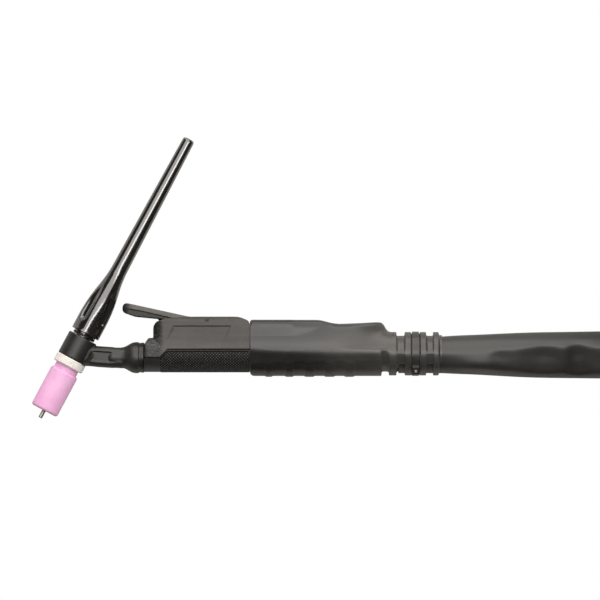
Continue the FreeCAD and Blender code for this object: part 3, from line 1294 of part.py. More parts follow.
def control_plug_nut():
    """Cable clamp nut at the back of the control plug."""
    body = hexagon_bar(CONTROL_NUT_ACROSS_FLATS, 0, CONTROL_NUT_LENGTH)
    chamfered = spun([
        (0, 0, 0), (CONTROL_NUT_ACROSS_FLATS / 2 - 0.6, 0, 0), (CONTROL_NUT_ACROSS_FLATS * 0.6, 1.6, 0),
        (CONTROL_NUT_ACROSS_FLATS * 0.6, CONTROL_NUT_LENGTH, 0), (0, CONTROL_NUT_LENGTH, 0),
    ])
    return on_route_end(body.common(chamfered), CONTROL_ROUTE)


def control_mouth():
    return CONTROL_NUT_LENGTH + CONTROL_SHELL_LENGTH


def ring_span():
    """Stations where the control plug's coupling ring starts and ends."""
    end = control_mouth() - CONTROL_RING_FROM_MOUTH
    return end - CONTROL_RING_LENGTH, end


def control_plug_shell():
    """Metal shell of the control plug, with a shoulder behind the coupling ring."""
    mouth = control_mouth()
    ring_start = ring_span()[0]
    inner = CONTROL_SHELL_RADIUS - CONTROL_SHELL_WALL
    body = spun([
        (0, CONTROL_NUT_LENGTH, 0), (CONTROL_SHELL_RADIUS, CONTROL_NUT_LENGTH, 0.5),
        (CONTROL_SHELL_RADIUS, ring_start - 2.0, 0),
        (CONTROL_SHELL_RADIUS + CONTROL_RING_STOP, ring_start - 1.6, 0),
        (CONTROL_SHELL_RADIUS + CONTROL_RING_STOP, ring_start - FACE_GAP, 0),
        (CONTROL_SHELL_RADIUS, ring_start - FACE_GAP, 0), (CONTROL_SHELL_RADIUS, mouth, 0.4),
        (inner, mouth, 0), (inner, mouth - CONTROL_MOUTH_DEPTH, 0), (0, mouth - CONTROL_MOUTH_DEPTH, 0),
    ])
    return on_route_end(body, CONTROL_ROUTE)


def control_plug_ring():
    """Coupling ring that turns on the control plug's shell."""
    start, end = ring_span()
    bore = CONTROL_SHELL_RADIUS + RUNNING_FIT
    body = spun([
        (bore, start, 0), (CONTROL_RING_RADIUS, start, 0.6),
        (CONTROL_RING_RADIUS, end, 0.6), (bore, end, 0),
    ])
    reach = CONTROL_RING_RADIUS + CONTROL_GROOVE_PROUD
    for i in range(CONTROL_GROOVE_COUNT):
        angle = 2 * math.pi * i / CONTROL_GROOVE_COUNT
        spot = vec(reach * math.cos(angle), reach * math.sin(angle), start - 1)
        body = body.cut(Part.makeCylinder(CONTROL_GROOVE_RADIUS, CONTROL_RING_LENGTH - 1.5, spot))
    return on_route_end(body, CONTROL_ROUTE)


def control_plug_pins():
    """Contacts inside the control plug's mouth."""
    foot = control_mouth() - CONTROL_MOUTH_DEPTH
    pins = []
    for i in range(CONTROL_PIN_COUNT):
        angle = 2 * math.pi * i / CONTROL_PIN_COUNT
        spot = vec(CONTROL_PIN_CIRCLE * math.cos(angle), CONTROL_PIN_CIRCLE * math.sin(angle), foot)
        pins.append(Part.makeCylinder(CONTROL_PIN_RADIUS, CONTROL_PIN_LENGTH, spot))
    return on_route_end(Part.makeCompound(pins), CONTROL_ROUTE)


def pieces():
    """Every node of the torch with the function that makes it."""
    return {
        "electrode": electrode, "collet": collet, "collet_body": collet_body, "nozzle": nozzle,
        "cup_gasket": cup_gasket, "head_core": head_core, "head_insulation": head_insulation,
        "back_cap": back_cap, "cap_o_ring": cap_o_ring, "neck_nut": neck_nut,
        "power_cable_front": power_cable_front, "grip_shell": grip_shell, "switch_housing": switch_housing,
        "lever": lever, "lever_pin": lever_pin, "lever_spring": lever_spring,
        "microswitch_body": microswitch_body, "microswitch_plunger": microswitch_plunger,
        "microswitch_terminals": microswitch_terminals, "microswitch_screws": microswitch_screws,
        "switch_wires": switch_wires, "rear_boot": rear_boot, "boot_tie": boot_tie,
        "sheath_run": sheath_run, "sheath_coil": sheath_coil, "sheath_end_collar": sheath_end_collar,
        "power_cable_tail": lambda: cord("power cable tail", POWER_ROUTE, POWER_CABLE_RADIUS),
        "power_plug_sleeve": power_plug_sleeve, "power_plug_pin": power_plug_pin,
        "control_lead_tail": lambda: cord("control lead tail", CONTROL_ROUTE, CONTROL_LEAD_RADIUS),
        "control_plug_nut": control_plug_nut, "control_plug_shell": control_plug_shell,
        "control_plug_ring": control_plug_ring, "control_plug_pins": control_plug_pins,
    }


def main():
    os.makedirs("parts", exist_ok=True)
    for name, make in pieces().items():
        shape = make()
        shape.exportStep("parts/" + name + ".step")
        facts = (name, len(shape.Solids), shape.isValid(), shape.Volume)
        print("%-24s solids %d, valid %s, volume %.1f mm3" % facts)


main()
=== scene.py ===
import json
import math

import bmesh
import bpy
import numpy as np
from mathutils import Matrix, Vector


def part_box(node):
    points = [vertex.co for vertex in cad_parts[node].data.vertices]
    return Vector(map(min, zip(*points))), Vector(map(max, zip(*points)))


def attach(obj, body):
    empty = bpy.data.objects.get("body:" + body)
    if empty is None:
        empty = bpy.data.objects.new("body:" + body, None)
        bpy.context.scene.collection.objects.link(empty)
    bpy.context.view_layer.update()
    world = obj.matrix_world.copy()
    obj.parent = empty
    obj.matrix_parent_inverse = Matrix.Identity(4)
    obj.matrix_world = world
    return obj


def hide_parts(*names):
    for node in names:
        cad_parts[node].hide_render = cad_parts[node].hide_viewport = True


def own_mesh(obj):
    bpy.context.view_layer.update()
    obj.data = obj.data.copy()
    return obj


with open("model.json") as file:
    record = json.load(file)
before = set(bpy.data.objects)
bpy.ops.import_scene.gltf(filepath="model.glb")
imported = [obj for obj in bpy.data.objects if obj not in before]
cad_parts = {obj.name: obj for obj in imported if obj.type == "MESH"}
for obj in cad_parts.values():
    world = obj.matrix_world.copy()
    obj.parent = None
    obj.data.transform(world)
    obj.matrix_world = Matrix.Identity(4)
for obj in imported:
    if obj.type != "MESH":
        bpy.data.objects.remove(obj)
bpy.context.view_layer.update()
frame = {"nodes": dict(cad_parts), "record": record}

# Lengths are in millimetres here and become metres where a mesh or a light is made.
MM = 0.001
NODES = frame["nodes"]

# Height of the electrode's and the handle's axes above the bench
AXIS_Z = 14.0

# Head: where the electrode's axis crosses the neck's axis, and its direction in the picture plane
HEAD = Vector((-144.7, -0.6, AXIS_Z))
ELECTRODE_ANGLE = math.radians(61.9)
ALONG_ELECTRODE = Vector((math.cos(ELECTRODE_ANGLE), math.sin(ELECTRODE_ANGLE), 0))
ACROSS_ELECTRODE = Vector((math.sin(ELECTRODE_ANGLE), -math.cos(ELECTRODE_ANGLE), 0))

# Head cover: the fillet where the neck leaves the barrel, the webs beside it, and the neck's swell
FILLET_START = 7.4
FILLET_REACH = 5.5
FILLET_HEIGHT = 1.5
NECK_MIDDLE = 0.35
WEB_START = 2.0
WEB_FLARE = 0.16
BARREL_SKIN = 9.5
NECK_START = -134.0
NECK_END = -119.0
NECK_SWELL = 0.2

# Nozzle: where its dark mouth ends, along the electrode
NOZZLE_MOUTH = -36.2

# Back cap as radius, place along the electrode, and the corner's rounding
CAP_CORNERS = [
    (0.0, 144.0, 0), (1.55, 144.0, 0), (1.55, 3.2, 0.2), (4.5, 3.2, 0.3), (4.5, 12.05, 0), (6.9, 12.05, 0.2),
    (6.9, 12.5, 0.1), (5.85, 12.5, 0), (5.85, 13.8, 0), (6.9, 13.8, 0.1), (6.9, 14.45, 0), (8.92, 14.45, 0.5),
    (8.92, 32.6, 94.0), (5.0, 52.9, 70.0), (3.62, 147.0, 1.7), (0.0, 147.0, 0),
]
CAP_COLUMNS = 240
CAP_STEP = 0.7
CAP_NECK = 5.2
FLUTED_START = 14.8
FLUTED_END = 62.0
FLUTE_START = 24.55
FLUTE_RADIUS = 4.6
FLUTE_DISTANCE = 11.32
FLUTE_LEAN = math.radians(1.0)
FLUTE_EDGE = 0.22
THREAD_RADIUS = 4.5
THREAD_START = 3.6
THREAD_END = 10.4
THREAD_PITCH = 1.27
THREAD_DEPTH = 0.225

# Lever: a point of the edge between its plate and its skirt, the way up from there, and where its end starts,
# which is painted black as shade
LEVER_EDGE = (-111.0, 27.0, AXIS_Z)
LEVER_UP = (0.218, 0.976, 0.0)
LEVER_END = -115.5

# Grip, its knurl, and the ramp where the grip's top edge drops to the saddle
GRIP_RADIUS = 12.9
GRIP_AXIS_Y = 2.1
GRIP_DIP = 4.8
DIP_END = -93.0
RAMP_END = -88.2
KNURL_START = -92.9
KNURL_END = -39.2
KNURL_PITCH = 1.3
KNURL_HEIGHT = 0.34
KNURL_BASE = 0.05
KNURL_EDGE = 0.6
KNURL_GAP = 0.12
KNURL_STEP = 0.2

# Housing: its flat side, how much that bulges, the sparked nose and saddle, and the parting line
HOUSING_SIDE = 12.4
HOUSING_START = -91.0
HOUSING_END = -45.0
HOUSING_LOW = 3.5
HOUSING_TOP = 18.0
CROWN_MIDDLE_Y = 3.4
CROWN_REACH = 15.0
CROWN_DEPTH = 0.35
CROWN_START = 6.0
CROWN_FULL = 14.0
NOSE_START = -92.8
NOSE_END = -90.4
SADDLE_TOP = 10.0
PARTING_DEPTH = 0.9
PARTING_HEIGHT = 0.6

# The housing's shallow panel, whose ends slant
PANEL_DEPTH = 0.35
PANEL_TOP = 16.7
PANEL_BOTTOM = 5.0
PANEL_LEFT = -85.5
PANEL_RIGHT = -49.3
PANEL_SLANT = 0.42
PANEL_EDGE = 0.6
PANEL_END_EDGE = 2.2
PANEL_FADE = 7.0

# Boot: its width, how its sides curve above and below their middle, and its inner wall
BOOT_HALF_WIDTH = 14.0
BOOT_MIDDLE_Y = 3.6
BOOT_WALL = 11.3
SIDE_CURVE = 0.0125
SIDE_DEEPEST = 0.6
HUMP_SIDE_DEEPEST = 4.6
LOWER_SIDE_CURVE = 0.05
LOWER_CURVE_HEIGHT = 3.0
# Where along the boot, and at which height, its side starts to turn under
BOOT_BEND = [(-38.0, 3.4), (-27.0, 2.4), (-15.0, 1.9), (10.0, 1.3), (42.0, 0.9)]
# The boot's skin behind the handle: where along the torch, and how high its top is
BOOT_TOP = [
    (-16.0, 20.3), (0.0, 20.3), (3.0, 20.2), (6.0, 19.5), (9.0, 18.7), (12.0, 18.2), (15.0, 18.0),
    (27.0, 18.5), (37.0, 19.05), (40.6, 19.0), (41.6, 18.6), (42.6, 17.0), (43.8, 15.3), (46.0, 14.0),
]
SKIN_START = -15.0
HUMP_END = 42.0
# How square the upper section is in front and at the hump, as the power of its outline
FRONT_POWER = 8.0
HUMP_POWER = 4.0
# Where the hump narrows, by how much, and where the section starts to turn round
NARROWING_START = 28.0
NARROWING_END = 44.0
NARROWING = 3.0
ROUND_FROM_SIDE = 8.0
ROUND_FROM_TOP = 39.0

# Boot's round relief, the grooves beside the cable tie, and the low lip at the end
RELIEF_START = 46.0
RELIEF_RADIUS = 13.05
RELIEF_Y = 0.15
TIE_GROOVES = (57.9, 62.5)
TIE_GROOVE_DEPTH = 0.8
TIE_GROOVE_WIDTH = 0.36
LIP_START = 73.9
LIP_RADIUS = 11.2
BOOT_END = 76.0

# Cable tie's cut tail: where it stands, its lean round the relief, and its size
TIE_X = 60.2
TIE_TAIL_RADIUS = 15.6
TIE_TAIL_LEAN = math.radians(42.0)
TIE_TAIL_SIZE = (1.5, 1.4, 2.2)

# Sheath and its coil, as the CAD part winds it
SHEATH_Y = -0.5
SHEATH_START = 50.0
SHEATH_STRAIGHT = [(SHEATH_START, SHEATH_Y, AXIS_Z), (120.0, SHEATH_Y, AXIS_Z), (240.0, SHEATH_Y, AXIS_Z)]
COIL_CENTRE = (335.0, 144.5)
COIL_OUTER = 145.0
COIL_PITCH = 28.5
COIL_LAYER = 28.45
COIL_LEAD_OUT = 42.0
POINTS_PER_TURN = 20
# Each move of the winding: turns, rings stepped inwards, layers stepped up
COIL_MOVES = [
    (0.7, 0, 0), (0.3, 1, 0), (0.5, 0, 0), (0.2, 0, 1), (0.5, 0, 0),
    (0.3, -1, 0), (0.5, 0, 0), (0.2, 0, 1), (0.55, 0, 0),
]

# Sheath's skin: drawn in where the boot grips it, then full
SHEATH_GRIPPED = 11.0
SHEATH_FULL = 14.05
SHEATH_GROWTH = 90.0
FOLDS_START = 77.0
FOLDS_FULL = 93.0
# Sheath's slack front: a nearly flat facet that leans down, below a ridge at these places and angles
FACET_LEAN = -16.0
FACET_EDGE = 0.4
SHEATH_RIDGE = [
    (99.0, -16.0), (103.5, -5.0), (108.0, 13.0), (119.0, 11.0), (129.0, 21.0), (137.0, 25.0), (144.5, 24.0),
    (148.5, 13.0), (153.0, 29.0), (159.0, 31.0), (165.0, 19.0), (175.0, 16.0), (200.0, 14.0), (235.0, 8.0),
    (280.0, -30.0),
]
# Each fold or dent: its place, its angle, its length, its width as an angle, and its height
SHEATH_FOLDS = [
    (99.0, -33.0, 19.0, 22.0, 1.5), (137.0, -4.0, 6.0, 20.0, -0.5), (156.0, -2.0, 4.0, 20.0, -0.4),
    (112.0, -56.0, 22.0, 20.0, -0.3), (150.0, -56.0, 16.0, 22.0, -0.4),
    (138.0, 58.0, 24.0, 16.0, -0.25), (176.0, 60.0, 26.0, 16.0, -0.3), (222.0, 4.0, 24.0, 40.0, -0.8),
]

# The two tails, from the sheath's collar to their plugs
POWER_RADIUS = 6.0
POWER_ROUTE = [
    (186.5, 90.5, 70.5), (186.5, 62.0, 70.5), (190.0, 24.0, 56.0), (200.0, -4.0, 42.0), (215.0, -25.0, 22.0),
    (238.0, -31.5, 8.0), (272.0, -31.5, 6.0), (340.0, -31.0, 6.0), (372.0, -25.0, 13.1), (400.0, -25.0, 13.1),
]
CONTROL_RADIUS = 3.0
CONTROL_ROUTE = [
    (198.5, 90.5, 71.0), (198.5, 70.0, 71.0), (204.0, 40.0, 57.0), (216.0, 10.0, 42.0), (230.0, -13.0, 28.5),
    (250.0, -21.5, 8.0), (284.0, -20.0, 3.0), (335.0, -19.2, 3.0), (390.0, -13.0, 3.0), (420.0, 3.0, 9.7),
    (446.0, 3.0, 9.7),
]

# Camera
VIEW_CENTRE = (-9.0, 32.4, AXIS_Z)
VIEW_WIDTH = 360.0
VIEW_DISTANCE = 3000.0
VIEW_TILT = math.radians(2.0)
SENSOR_WIDTH = 36.0

# Room and bench, as the object and as its gloss see them
ROOM_LIGHT = 0.28
ROOM_IN_GLOSS = 0.04
BENCH = (0.55, 0.54, 0.53)
BENCH_IN_GLOSS = (0.5, 0.49, 0.48)
BENCH_REACH = 6000.0
BENCH_Z = -0.5

# Each softbox: its name, place, target and size in metres, its power, and whether gloss shows it
SOFTBOXES = [
    ("overhead", (-0.05, 1.0, 1.0), (-0.05, 1.0, 0.0), (1.6, 2.06), 26.4, True),
    ("upright", (0.0, 2.3, 0.62), (0.0, 0.0, 0.4), (3.4, 1.1), 31.0, True),
    ("line", (0.05, 0.07, 0.98), (0.05, 0.07, 0.0), (0.75, 0.12), 1.9, True),
    ("side", (1.15, 0.6, 0.75), (-0.12, 0.0, 0.0), (1.0, 1.1), 7.0, False),
]
LAMP_COLOUR = (1.0, 0.965, 0.925)


# Shading


class Shade:
    """A socket of a material's nodes, which adds, multiplies and blends like a number."""

    def __init__(self, tree, socket):
        self.tree = tree
        self.socket = socket

    def node(self, kind, settings=None, links=None, out=0):
        """Any other node, with its settings, its inputs by name or number, and one output."""
        made = self.tree.nodes.new(kind)
        for key, value in (settings or {}).items():
            setattr(made, key, value)
        for key, value in (links or {}).items():
            if isinstance(value, Shade):
                self.tree.links.new(value.socket, made.inputs[key])
            else:
                made.inputs[key].default_value = value
        return Shade(self.tree, made.outputs[out])

    def maths(self, operation, *others):
        """A Math node on this value and the others."""
        return self.node("ShaderNodeMath", {"operation": operation}, dict(enumerate([self, *others])))

    def __add__(self, other):
        return self.maths("ADD", other)

    def __sub__(self, other):
        return self.maths("SUBTRACT", other)

    def __mul__(self, other):
        return self.maths("MULTIPLY", other)

    def __neg__(self):
        return self.maths("MULTIPLY", -1.0)

    def __rsub__(self, other):
        return (-self) + other

    __radd__ = __add__
    __rmul__ = __mul__

    def step(self, low, high):
        """0 below low, 1 above high, and smooth between them."""
        settings = {"interpolation_type": "SMOOTHSTEP"}
        return self.node("ShaderNodeMapRange", settings, {"Value": self, "From Min": low, "From Max": high})

    def noise(self, scale, detail=3.0, rough=0.5, stretch=(1, 1, 1)):
        """Noise in the object's own space, scale in lumps per metre."""
        place = self.node("ShaderNodeMapping", None, {"Vector": self, "Scale": stretch})
        links = {"Vector": place, "Scale": scale, "Detail": detail, "Roughness": rough}
        return self.node("ShaderNodeTexNoise", None, links)

    def cells(self, scale):
        """Distance to the middle of small cells, scale in cells per metre."""
        return self.node("ShaderNodeTexVoronoi", None, {"Vector": self, "Scale": scale})

    def axis(self, number):
        """One of a place's three numbers."""
        return self.node("ShaderNodeSeparateXYZ", None, {"Vector": self}, out=number)

    def away_from(self, origin):
        """A place as seen from a point, which is given in millimetres."""
        links = {0: self, 1: tuple(c * MM for c in origin)}
        return self.node("ShaderNodeVectorMath", {"operation": "SUBTRACT"}, links)

    def along(self, origin, way):
        """How far a place lies from a point, along a direction."""
        links = {0: self.away_from(origin), 1: tuple(way)}
        return self.node("ShaderNodeVectorMath", {"operation": "DOT_PRODUCT"}, links, out="Value")

    def blend(self, low, high):
        """From one colour to another as this value goes from 0 to 1."""
        low, high = (end if isinstance(end, Shade) else (*end, 1) for end in (low, high))
        settings = {"data_type": "RGBA", "clamp_factor": True}
        return self.node("ShaderNodeMix", settings, {"Factor": self, 6: low, 7: high}, out=2)

    def bump(self, height, under=None):
        """A normal from this value as a height in millimetres, over another normal if there is one."""
        links = {"Height": self, "Distance": height * MM, "Strength": 1.0}
        if under is not None:
            links["Normal"] = under
        return self.node("ShaderNodeBump", None, links)


def material(name, **constants):
    """A new material, its shader and the place in the object as a Shade."""
    made = bpy.data.materials.new(name)
    made.use_nodes = True
    shader = made.node_tree.nodes["Principled BSDF"]
    for key, value in constants.items():
        shader.inputs[key.replace("_", " ")].default_value = value
    coordinates = made.node_tree.nodes.new("ShaderNodeTexCoord")
    return made, shader, Shade(made.node_tree, coordinates.outputs["Object"])


def feed(shader, **values):
    """Links values to the shader's sockets, which are named with underscores."""
    for key, value in values.items():
        value.tree.links.new(value.socket, shader.inputs[key.replace("_", " ")])


def grip_drop(x):
    """How far the grip's top edge lies below its axis at a place along the torch."""
    ramp_down = (RAMP_END * MM - x) * (GRIP_DIP / (RAMP_END - DIP_END))
    return ramp_down.maths("MAXIMUM", 0.0).maths("MINIMUM", GRIP_DIP * MM)


def moulded_plastic(name, dark, light, rough):
    """Moulded nylon: fine spark grain, faint flow streaks and slightly rubbed high spots."""
    made, shader, place = material(name, Specular_IOR_Level=0.5)
    cloud = place.noise(60.0, 4.0)
    fine = place.noise(900.0, 2.0)
    worn = place.noise(240.0, 6.0, 0.7)
    tone = cloud * 0.6 + fine * 0.25 + worn * 0.15
    feed(
        shader,
        Base_Color=tone.step(0.3, 0.7).blend(dark, light),
        Roughness=worn * 0.12 + fine * 0.08 + (rough - 0.1),
        Normal=(place.cells(1400.0) * 0.6 + place.noise(3080.0, 2.0) * 0.4).bump(0.012),
    )
    return made


def housing_nylon():
    """The housing's nylon: satin sides, painted darker above and lighter below as light and shade; a coarse
    sparked nose painted darker as shade and a saddle painted lighter as light; and painted shade along the
    parting line.
    """
    made, shader, place = material("housing_nylon", Specular_IOR_Level=0.44)
    x, y = place.axis(0), place.axis(1)
    cloud = place.noise(60.0, 4.0)
    worn = place.noise(240.0, 6.0, 0.7)
    streaks = place.noise(300.0, 3.0, 0.6, (0.12, 1, 1))
    grit = place.noise(1250.0, 2.0, 0.6).step(0.36, 0.64)

    nose = 1.0 - x.step(NOSE_START * MM, NOSE_END * MM)
    saddle = 1.0 - y.step((SADDLE_TOP - 0.8) * MM, SADDLE_TOP * MM)
    seam = GRIP_AXIS_Y * MM - grip_drop(x)
    # Painted shade: a near black band just above the parting line, where the groove lies in shade.
    line = 1.0 - (y - seam).step(0.15 * MM, 0.6 * MM)

    satin = (cloud * 0.4 + worn * 0.2 + streaks * 0.4).step(0.32, 0.68)
    # Painted light and shade: the lower sides are painted lighter and the upper sides darker.
    upper = satin.blend((0.018, 0.017, 0.015), (0.038, 0.035, 0.031))
    lower = satin.blend((0.038, 0.035, 0.032), (0.062, 0.058, 0.052))
    # Painted light and shade: the nose, which faces away from the light, is painted darker, and the saddle,
    # whose flat face takes more light, is painted lighter.
    nose_painted_shade = grit.blend((0.001, 0.001, 0.001), (0.024, 0.022, 0.020))
    saddle_painted_light = grit.blend((0.008, 0.008, 0.007), (0.064, 0.062, 0.056))
    sides = y.step(4.0 * MM, 8.0 * MM).blend(lower, upper)
    skin = nose.blend(sides, saddle.blend(nose_painted_shade, saddle_painted_light))
    feed(
        shader,
        Base_Color=line.blend(skin, grit.blend((0.002, 0.002, 0.002), (0.005, 0.005, 0.005))),
        Roughness=worn * 0.12 + nose * 0.16 + line * 0.4 + 0.36,
        Normal=(place.cells(1400.0) * 0.3 + place.noise(3000.0, 2.0) * 0.2 + grit * nose * 0.9).bump(0.05),
    )
    return made


def lever_nylon():
    """The lever's nylon: a satin plate painted lighter as light, a coarser skirt painted darker as shade
    under the plate, and a sparked thumb end painted black as shade.
    """
    made, shader, place = material("lever_nylon", Specular_IOR_Level=0.5)
    cloud = place.noise(60.0, 4.0)
    worn = place.noise(240.0, 6.0, 0.7)
    grit = place.noise(1250.0, 2.0, 0.6).step(0.36, 0.64)
    # Painted light and shade: the plate is painted lighter and the skirt under its overhang darker.
    skirt = 1.0 - place.along(LEVER_EDGE, LEVER_UP).step(-0.1 * MM, 0.3 * MM)
    # Painted shade: the thumb end, which faces away from the light, is painted black.
    end = 1.0 - place.axis(0).step(LEVER_END * MM, (LEVER_END + 4.0) * MM)
    satin = (cloud * 0.5 + worn * 0.5).step(0.32, 0.68).blend((0.046, 0.043, 0.039), (0.074, 0.070, 0.063))
    coarse = (cloud * 0.3 + grit * 0.7).blend((0.006, 0.006, 0.005), (0.030, 0.028, 0.025))
    black = grit.blend((0.001, 0.001, 0.001), (0.022, 0.021, 0.019))
    feed(
        shader,
        Base_Color=end.blend(skirt.blend(satin, coarse), black),
        Roughness=worn * 0.12 + skirt * 0.14 + end * 0.1 + 0.34,
        Normal=(place.cells(1400.0) * 0.3 + grit * end * 0.7).bump(0.03),
    )
    return made


def moulded_rubber(name, dark, light, rough, drag_way=(1, 1, 1), paler=None):
    """Moulded rubber: satin skin with bloom clouds, faint drag marks and small pits.

    paler holds two places along X and two colours: between the places the skin turns to those colours, a
    painted light that makes that skin lighter than the rubber's own colour.
    """
    made, shader, place = material(name, Specular_IOR_Level=0.54)
    bloom = place.noise(45.0, 5.0, 0.6)
    drag = place.noise(160.0, 3.0, 0.6, drag_way)
    grain = place.noise(1700.0, 3.0, 0.6) * 0.6 + place.cells(1100.0) * 0.4
    tone = (bloom * 0.55 + drag * 0.45).step(0.32, 0.68)
    colour = tone.blend(dark, light)
    # Painted light: past the given places the skin is painted paler.
    if paler is not None:
        start, end, pale_dark, pale_light = paler
        colour = place.axis(0).step(start * MM, end * MM).blend(colour, tone.blend(pale_dark, pale_light))
    feed(
        shader,
        Base_Color=colour,
        Roughness=bloom * 0.14 + drag * 0.12 + (rough - 0.13),
        Normal=drag.bump(0.02, grain.bump(0.015)),
    )
    return made


def ceramic():
    """Fired alumina, dyed pink: chalky with fine pores, paler specks and faint turning rings."""
    made, shader, place = material("pink_alumina", Specular_IOR_Level=0.5, Subsurface_Weight=0.12)
    shader.inputs["Subsurface Radius"].default_value = (0.0016, 0.0009, 0.0011)
    shader.inputs["Subsurface Scale"].default_value = 0.6
    cloud = place.noise(110.0, 5.0, 0.6)
    speck = place.noise(1500.0, 2.0, 0.7)
    pores = place.cells(1900.0)
    station = place.along(HEAD, ALONG_ELECTRODE)
    rings = (station * 9000.0).maths("SINE")
    tone = cloud.step(0.35, 0.7) * 0.7 + speck.step(0.45, 0.75) * 0.3
    outside = station.step((NOZZLE_MOUTH - 2.0) * MM, NOZZLE_MOUTH * MM)
    feed(
        shader,
        Base_Color=outside.blend((0.45, 0.27, 0.33), tone.blend((0.66, 0.34, 0.56), (0.73, 0.42, 0.63))),
        Roughness=cloud * 0.16 + speck * 0.1 + 0.42,
        Normal=(rings * 0.12 + speck * 0.6 + pores * 0.4).bump(0.012),
    )
    return made


def turned_plastic():
    """White PTFE: waxy, with turning rings and a few grey handling smears."""
    made, shader, place = material("white_ptfe", Specular_IOR_Level=0.45, Subsurface_Weight=0.2)
    shader.inputs["Subsurface Radius"].default_value = (0.0012, 0.0012, 0.0011)
    shader.inputs["Subsurface Scale"].default_value = 0.5
    smear = place.noise(260.0, 5.0, 0.7)
    rings = (place.along(HEAD, ALONG_ELECTRODE) * 5200.0).maths("SINE")
    feed(
        shader,
        Base_Color=smear.step(0.42, 0.75).blend((0.70, 0.67, 0.64), (0.55, 0.52, 0.50)),
        Roughness=smear * 0.2 + 0.3,
        Normal=(rings * 0.9 + place.noise(1500.0) * 0.3).bump(0.05),
    )
    return made


def polished_phenolic():
    """Compression moulded phenolic: near black gloss with faint polishing haze."""
    made, shader, place = material(
        "black_phenolic", IOR=1.75, Specular_IOR_Level=0.6,
        Coat_Weight=0.7, Coat_IOR=1.75, Coat_Roughness=0.1,
    )
    haze = place.noise(70.0, 6.0, 0.65)
    fine = place.noise(700.0, 4.0, 0.6)
    feed(
        shader,
        Base_Color=haze.step(0.3, 0.8).blend((0.004, 0.004, 0.004), (0.011, 0.010, 0.009)),
        Roughness=haze * 0.08 + fine * 0.05 + 0.1,
        Normal=(haze * 0.8 + fine * 0.2).bump(0.0006),
    )
    return made


def metal(name, dark, light, rough, scale=900.0):
    """Bare metal: fine machining marks, with dull and bright patches."""
    made, shader, place = material(name, Metallic=1.0)
    marks = place.noise(scale, 4.0, 0.6)
    patch = place.noise(150.0, 5.0, 0.6)
    feed(
        shader,
        Base_Color=(marks * 0.5 + patch * 0.5).step(0.3, 0.7).blend(dark, light),
        Roughness=marks * 0.2 + patch * 0.15 + (rough - 0.15),
        Normal=marks.bump(0.004),
    )
    return made


def knurled_nylon():
    """The grip's nylon: rubbed pale on the knurl's points, black in its grooves, and painted near black as
    shade in a band under the parting line.
    """
    made, shader, place = material("knurled_nylon", Specular_IOR_Level=0.4)
    offset = place.away_from((0, GRIP_AXIS_Y, AXIS_Z))
    x, y, z = (offset.axis(number) for number in range(3))
    around = (-y).maths("ARCTAN2", z) * GRIP_RADIUS * MM
    diamonds = 1 / (KNURL_PITCH * MM * math.sqrt(2))
    sides = [(x + around) * diamonds, (x - around) * diamonds]
    slopes = [1.0 - (side.maths("FRACT") - 0.5).maths("ABSOLUTE") * 2.0 for side in sides]
    ridge = slopes[0].maths("MINIMUM", slopes[1])
    wear = place.noise(420.0, 4.0, 0.65)
    # Painted shade: a band just under the parting line gets no pale points, so it stays near black as the
    # seam's shade.
    clear_of_painted_seam_shade = (-y - grip_drop(x)).step(1.0 * MM, 1.5 * MM)
    points = (ridge * 0.8 + wear * 0.4).step(0.6, 1.02) * clear_of_painted_seam_shade
    feed(
        shader,
        Base_Color=points.blend((0.002, 0.002, 0.002), (0.150, 0.147, 0.134)),
        Roughness=wear * 0.2 + 0.9 - clear_of_painted_seam_shade * 0.4,
        Normal=place.noise(2200.0, 2.0).bump(0.01),
    )
    return made


def sheath_skin():
    """Coated fabric sheath: satin skin, soft mottling, scuffs and a fine pebble grain."""
    made, shader, place = material("sheath_skin", Specular_IOR_Level=0.6)
    mottle = place.noise(35.0, 6.0, 0.6)
    scuff = place.noise(120.0, 7.0, 0.75, (0.4, 1, 1))
    grain = place.cells(1300.0) * 0.5 + place.noise(2400.0, 2.0) * 0.5
    tone = (mottle * 0.6 + scuff * 0.4).step(0.3, 0.72)
    feed(
        shader,
        Base_Color=tone.blend((0.014, 0.014, 0.013), (0.026, 0.025, 0.023)),
        Roughness=mottle * 0.15 + scuff * 0.16 + 0.27,
        Normal=grain.bump(0.012, mottle.bump(0.25)),
    )
    return made


def pin_steel():
    """The lever pin: a dull end face, near black in its middle."""
    made, shader, place = material("pin_steel", Metallic=1.0)
    low, high = (Vector(corner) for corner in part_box("lever_pin"))
    offset = place.away_from((low + high) / (2 * MM))
    flat = offset.node("ShaderNodeVectorMath", {"operation": "MULTIPLY"}, {0: offset, 1: (1, 1, 0)})
    away = flat.node("ShaderNodeVectorMath", {"operation": "LENGTH"}, {0: flat}, out="Value")
    face = away.step(0.35 * MM, 0.6 * MM)
    marks = place.noise(1200.0, 4.0, 0.6)
    middle_colour = marks.blend((0.002, 0.002, 0.002), (0.006, 0.006, 0.006))
    face_colour = marks.blend((0.07, 0.07, 0.06), (0.14, 0.13, 0.12))
    feed(
        shader,
        Base_Color=face.blend(middle_colour, face_colour),
        Roughness=marks * 0.3 + 0.4,
        Normal=marks.bump(0.01),
    )
    return made


